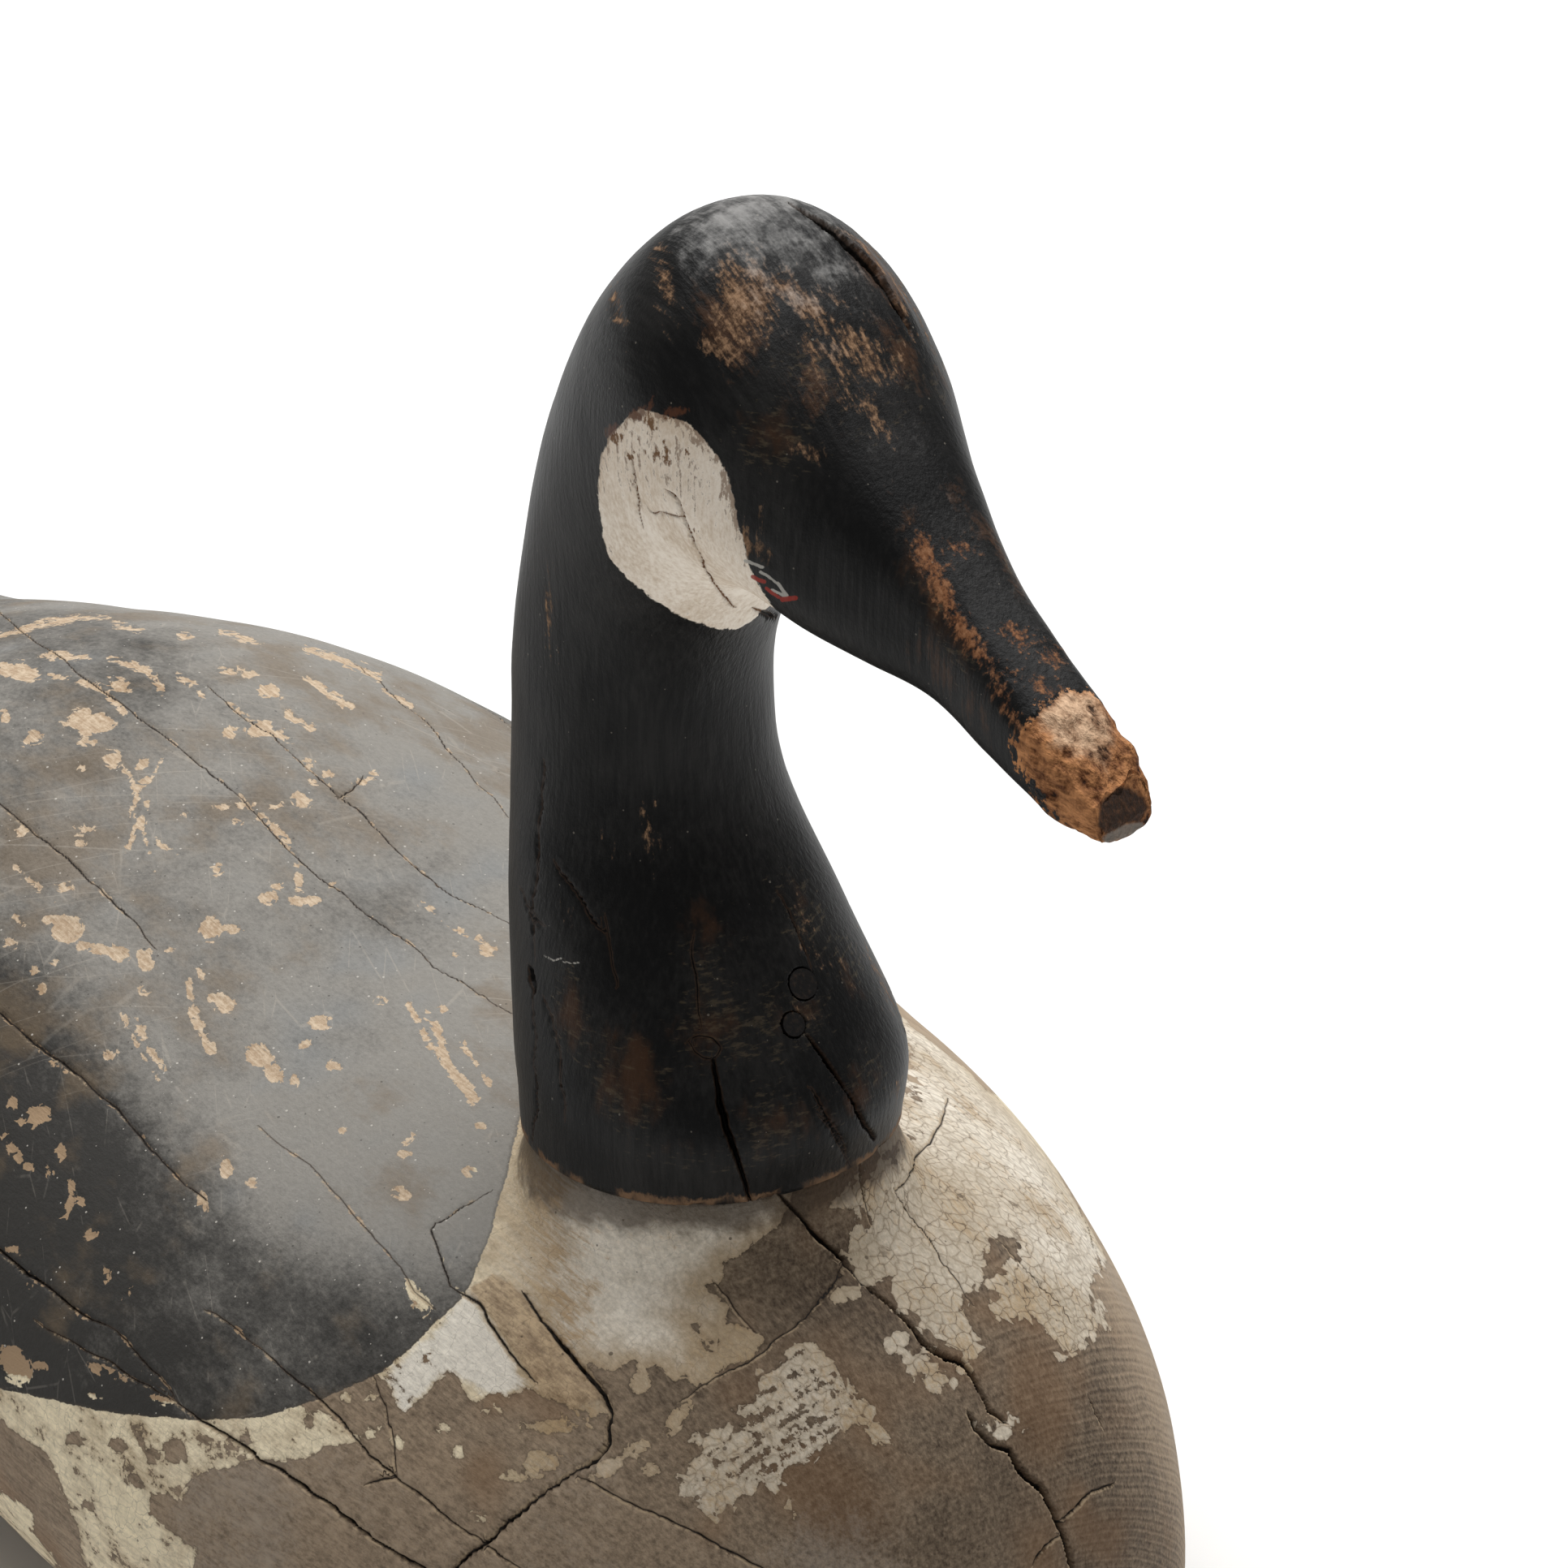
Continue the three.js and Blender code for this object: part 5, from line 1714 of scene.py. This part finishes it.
# %% Black paint, and the wood worn through it
def black_paint(r, brush, ragged, crumb):
    """Colour of the paint with its worn places, and the share that is bare wood."""
    broad, cloud, scuffed, smeared = r.marks("broad", "cloud", "scuffed", "smeared")
    rubbed, ahead, height = r.marks("worn", "ahead", "above_foot")
    colour = r.ramp(cloud + brush, -1.0, (21, 21, 21), 1.8, (42, 41, 40))
    brown = r.most(r.step(broad + ragged + 0.2 * scuffed, 0.5, 2.4),
                   r.step(smeared + 1.5 * crumb + 3.0 * ragged + 3.0 * brush, 0.5, 5.5))
    colour = r.mix(colour, (88, 60, 40), 0.48 * brown)
    rub = r.noise(1.3, 3.0, (0.45, 0.45, 1.5), 34.0, 0.65)
    rub = rub + 0.75 * r.step(scuffed, -4.0, 4.0) + 0.3 * cloud
    colour = r.mix(colour, (98, 86, 68), 0.42 * r.step(rub, 0.85, 1.60))
    worn = r.step(0.75 * rubbed + ragged + 1.1 * crumb + 1.5 * brush, 0.1, 2.1)
    small = crumb + 0.5 * brush + 0.25 * broad + 0.35 * r.step(scuffed, -3.0, 3.0)
    worn = r.most(worn, 0.7 * r.step(small, 1.45, 1.75))
    light = 0.9 * brush + 0.9 * crumb + 0.3 * ragged + 0.12 * rubbed
    tan = r.ramp(light, -0.45, (66, 46, 32), 1.9, (178, 142, 110))
    tan = r.mix(tan, (152, 92, 52), 0.5 * r.step(ahead, 225.0, 245.0))
    colour = r.mix(colour, tan, 0.92 * worn)
    foot = r.step(height + 1.2 * ragged + 0.8 * crumb, 2.2, 0.9)
    foot = foot * r.step(cloud + 0.8 * ragged, -0.6, 0.3)
    colour = r.mix(colour, (138, 108, 82), 0.8 * foot)
    speck = 0.4 * r.specks(2.6, 39.0, 0.12)
    return r.mix(colour, (150, 142, 130), speck), r.most(worn, foot)


# %% The raw, chewed bill
def raw_bill(r, colour, split, ragged, crumb):
    """The colour with orange wood where the bill is raw, and that share."""
    raw, pale, dark_end, band = r.marks("raw", "pale_raw", "end_dark", "end_band")
    chewed = 1.1 * split + 0.5 * crumb + 0.5 * ragged
    orange = r.ramp(chewed, -1.1, (74, 38, 20), 1.3, (202, 142, 94))
    fair = r.ramp(chewed, -1.3, (134, 98, 72), 1.0, (228, 192, 158))
    orange = r.mix(orange, fair, r.step(pale + 1.8 * ragged, -1.5, 2.5))
    soot = r.step(-0.9 * split - 0.9 * ragged, 0.50, 1.05)
    orange = r.mix(orange, (36, 26, 20), 0.85 * soot)
    raw = r.step(raw + 3.6 * ragged + 2.0 * crumb, 0.1, 0.9)
    colour = r.mix(colour, orange, raw)
    dark = r.ramp(crumb, -0.4, (60, 47, 40), 1.2, (104, 72, 52))
    colour = r.mix(colour, dark, r.step(dark_end + 0.5 * ragged + 0.3 * crumb, -0.5, 0.4))
    rim = r.step(band + 0.2 * crumb, -0.3, 0.3)
    return r.mix(colour, (134, 128, 120), 0.85 * rim), raw


# %% The cheek and the painted eye
def cheek_and_eye(r, colour, brush, ragged, crumb):
    """The colour with the cheek and the eye's strokes laid on, and the cheek's share."""
    inside, bare, drips, cloud = r.marks("cheek", "cheek_bare", "drips", "cloud")
    white, red = r.marks("eye_white", "eye_red")
    _, _, z = r.xyz()
    high = r.step(z, 308.0, 334.0) + 0.5 * r.step(inside, 3.0, 0.0)
    streak = r.step(brush + 0.7 * crumb + high, 1.1, 1.7)
    open_wood = r.most(r.step(bare + 0.6 * ragged + 0.8 * crumb, 0.0, 0.6), 0.75 * streak)
    cream = r.ramp(cloud + 0.7 * brush + crumb, -1.8, (212, 192, 168), 1.2, (252, 241, 226))
    cream = r.mix(cream, (122, 92, 66), open_wood)
    cheek = r.step(inside + 0.25 * ragged + 0.30 * crumb, -0.1, 0.2)
    colour = r.mix(colour, cream, cheek)
    drip = r.step(drips + 0.6 * ragged + 0.6 * crumb, 0.0, 0.7)
    colour = r.mix(colour, (88, 54, 36), 0.8 * drip)
    colour = r.mix(colour, (176, 172, 164), 0.9 * r.step(white + 0.12 * crumb, 0.0, 0.15))
    return r.mix(colour, (146, 46, 34), 0.9 * r.step(red + 0.08 * crumb, 0.0, 0.15)), cheek


# %% The head's finish as a whole
def head_finish(name):
    r = Recipe(name)
    raw_in, sky, ahead = r.marks("raw", "sky", "ahead")
    _, _, z = r.xyz()
    over = r.step(z, 325.0, 350.0)
    along_bill = r.noise(1.2, 3.0, (0.10, 1, 0.4), 33.5, 0.6)
    up_neck = r.noise(1.2, 3.0, (1, 1, 0.08), 33.0, 0.6)
    brush = along_bill * over + up_neck * (1.0 - over)
    crumb = r.noise(1.0, 3.0, (1, 1, 0.6), 31.0, 0.72)
    ragged = r.noise(4.2, 3.0, (1, 1, 0.5), 32.0, 0.6)
    split = r.noise(2.0, 3.0, (0.3, 1, 1), 36.0, 0.65)
    colour, worn = black_paint(r, brush, ragged, crumb)
    colour, raw = raw_bill(r, colour, split, ragged, crumb)
    colour, cream = cheek_and_eye(r, colour, brush, ragged, crumb)
    # Dust on faces towards the sky, and a painted highlight on the crown.
    dust_and_sheen = r.step(sky + 0.12 * ragged + 0.05 * brush + 0.05 * crumb, 0.82, 1.10)
    dust_and_sheen = dust_and_sheen * r.step(ahead, 255.0, 200.0)
    colour = r.mix(colour, (172, 170, 167), 0.66 * dust_and_sheen)
    hole = r.crack(0.05 * crumb + 0.08 * ragged)
    colour = r.mix(colour, (92, 66, 46), 0.25 * r.step(hole, -0.45, -0.1))
    # Painted shade in each crack's core: near black on the paint, brown on the cheek.
    deep = r.mix((10, 9, 8), (118, 84, 58), cream)
    colour = r.mix(colour, deep, 0.96 * r.step(hole, -0.05, 0.06))
    roughness = 0.32 * r.most(worn, raw) + 0.25 * cream + 0.42
    relief = 0.05 * brush + 0.04 * crumb + r.step(raw_in, 0.0, 1.5) * (0.35 * split)
    return r.finish(colour, roughness, 0.12, relief)


head.data.materials.append(head_finish("head_paint_worn"))

# %% [markdown]
# ## The plugs
#
# The plugs keep their plain solids and only get a better finish. They were painted over with
# the neck, so what shows is black paint, a little browner and rougher than the rest.


# %% Painted end grain
def plug_finish(name):
    r = Recipe(name)
    ring, _ = r.cells(r.stretched(1.6, (1, 1, 1), 41.0), "SMOOTH_F1")
    speck = r.noise(0.9, 3.0, shift=42.0)
    colour = r.ramp(ring + speck, 0.3, (24, 22, 21), 2.0, (58, 46, 37))
    return r.finish(colour, 0.05 * speck + 0.45, 0.25, 0.05 * speck)


plug_material = plug_finish("plug_wood_painted")
for name in PLUGS:
    for slot in frame["nodes"][name].material_slots:
        slot.material = plug_material


# %% [markdown]
# ## Floor, backdrop, light and camera
#
# A white cove and a broad light overhead give the soft, shadowless look of a picture for a
# catalogue. The cove is one sheet: floor, a generous bend, then wall.


# %% The cove
def cove(width, front, back, height, bend, steps=24):
    """A sheet along a profile: floor level at zero, a quarter circle, then a wall.

    Each place of the profile is taken half the width to either side of the photograph's
    line of sight: out along the way ahead of the camera, and sideways along its right.
    """
    turn = np.linspace(0, math.pi / 2, steps)
    along = np.concatenate([[front], back - bend + bend * np.sin(turn), [back]])
    above = np.concatenate([[0.0], bend - bend * np.cos(turn), [height]])
    along, side = np.meshgrid(along, [-width / 2, width / 2], indexing="ij")
    ahead = np.array([-camera_right[1], camera_right[0], 0.0])
    sheet = side[..., None] * camera_right + along[..., None] * ahead
    sheet[..., 2] = above[:, None]
    return sheet.reshape(-1, 3)


cove_points = cove(width=9.0, front=-4.5, back=4.0, height=4.0, bend=1.5)
strips = 2 * np.arange(len(cove_points) // 2 - 1)[:, None]
cove_mesh = bpy.data.meshes.new("cove")
cove_mesh.from_pydata(cove_points.tolist(), [], (strips + [0, 1, 3, 2]).tolist())
cove_mesh.shade_smooth()
cove_sheet = bpy.data.objects.new("cove", cove_mesh)
bpy.context.scene.collection.objects.link(cove_sheet)
cove_mesh.materials.append(Recipe("cove_pale").finish(tone(246, 246, 245), 0.9, 0.1))


# %% Lights and sky
def soft_light(name, place, aim, size, power):
    """A square area light of this size in metres, turned from its place towards its aim."""
    lamp = bpy.data.lights.new(name, "AREA")
    lamp.size = size
    lamp.energy = power
    lamp_object = bpy.data.objects.new(name, lamp)
    direction = Vector(aim) - Vector(place)
    lamp_object.location = place
    lamp_object.rotation_euler = direction.to_track_quat("-Z", "Y").to_euler()
    bpy.context.scene.collection.objects.link(lamp_object)


soft_light("overhead", place=(-0.75, 0.65, 2.7), aim=(0.0, 0.05, 0.1), size=3.2, power=118.0)
SKY_STRENGTH = 0.20
sky = bpy.data.worlds.new("studio")
sky.use_nodes = True
sky.node_tree.nodes["Background"].inputs[0].default_value = (1.0, 1.0, 1.0, 1.0)
sky.node_tree.nodes["Background"].inputs[1].default_value = SKY_STRENGTH
bpy.context.scene.world = sky
bpy.context.scene.view_settings.view_transform = "Standard"

# %% The camera, at the photograph's angle
SENSOR_WIDTH = 36.0
camera_data = bpy.data.cameras.new("photo_camera")
camera_data.sensor_width = SENSOR_WIDTH
camera_data.lens = SENSOR_WIDTH * PHOTO_FOCUS / PHOTO_SIDE
camera_data.clip_end = 50.0
camera = bpy.data.objects.new("photo_camera", camera_data)
pose = np.eye(4)
pose[:3] = np.column_stack([camera_right, camera_up, towards_camera, camera_place / 1000])
camera.matrix_world = Matrix(pose.tolist())
bpy.context.scene.collection.objects.link(camera)
bpy.context.scene.camera = camera
print("lens", round(camera_data.lens, 1), "mm; lit by", len(bpy.data.lights), "lamp and the sky")
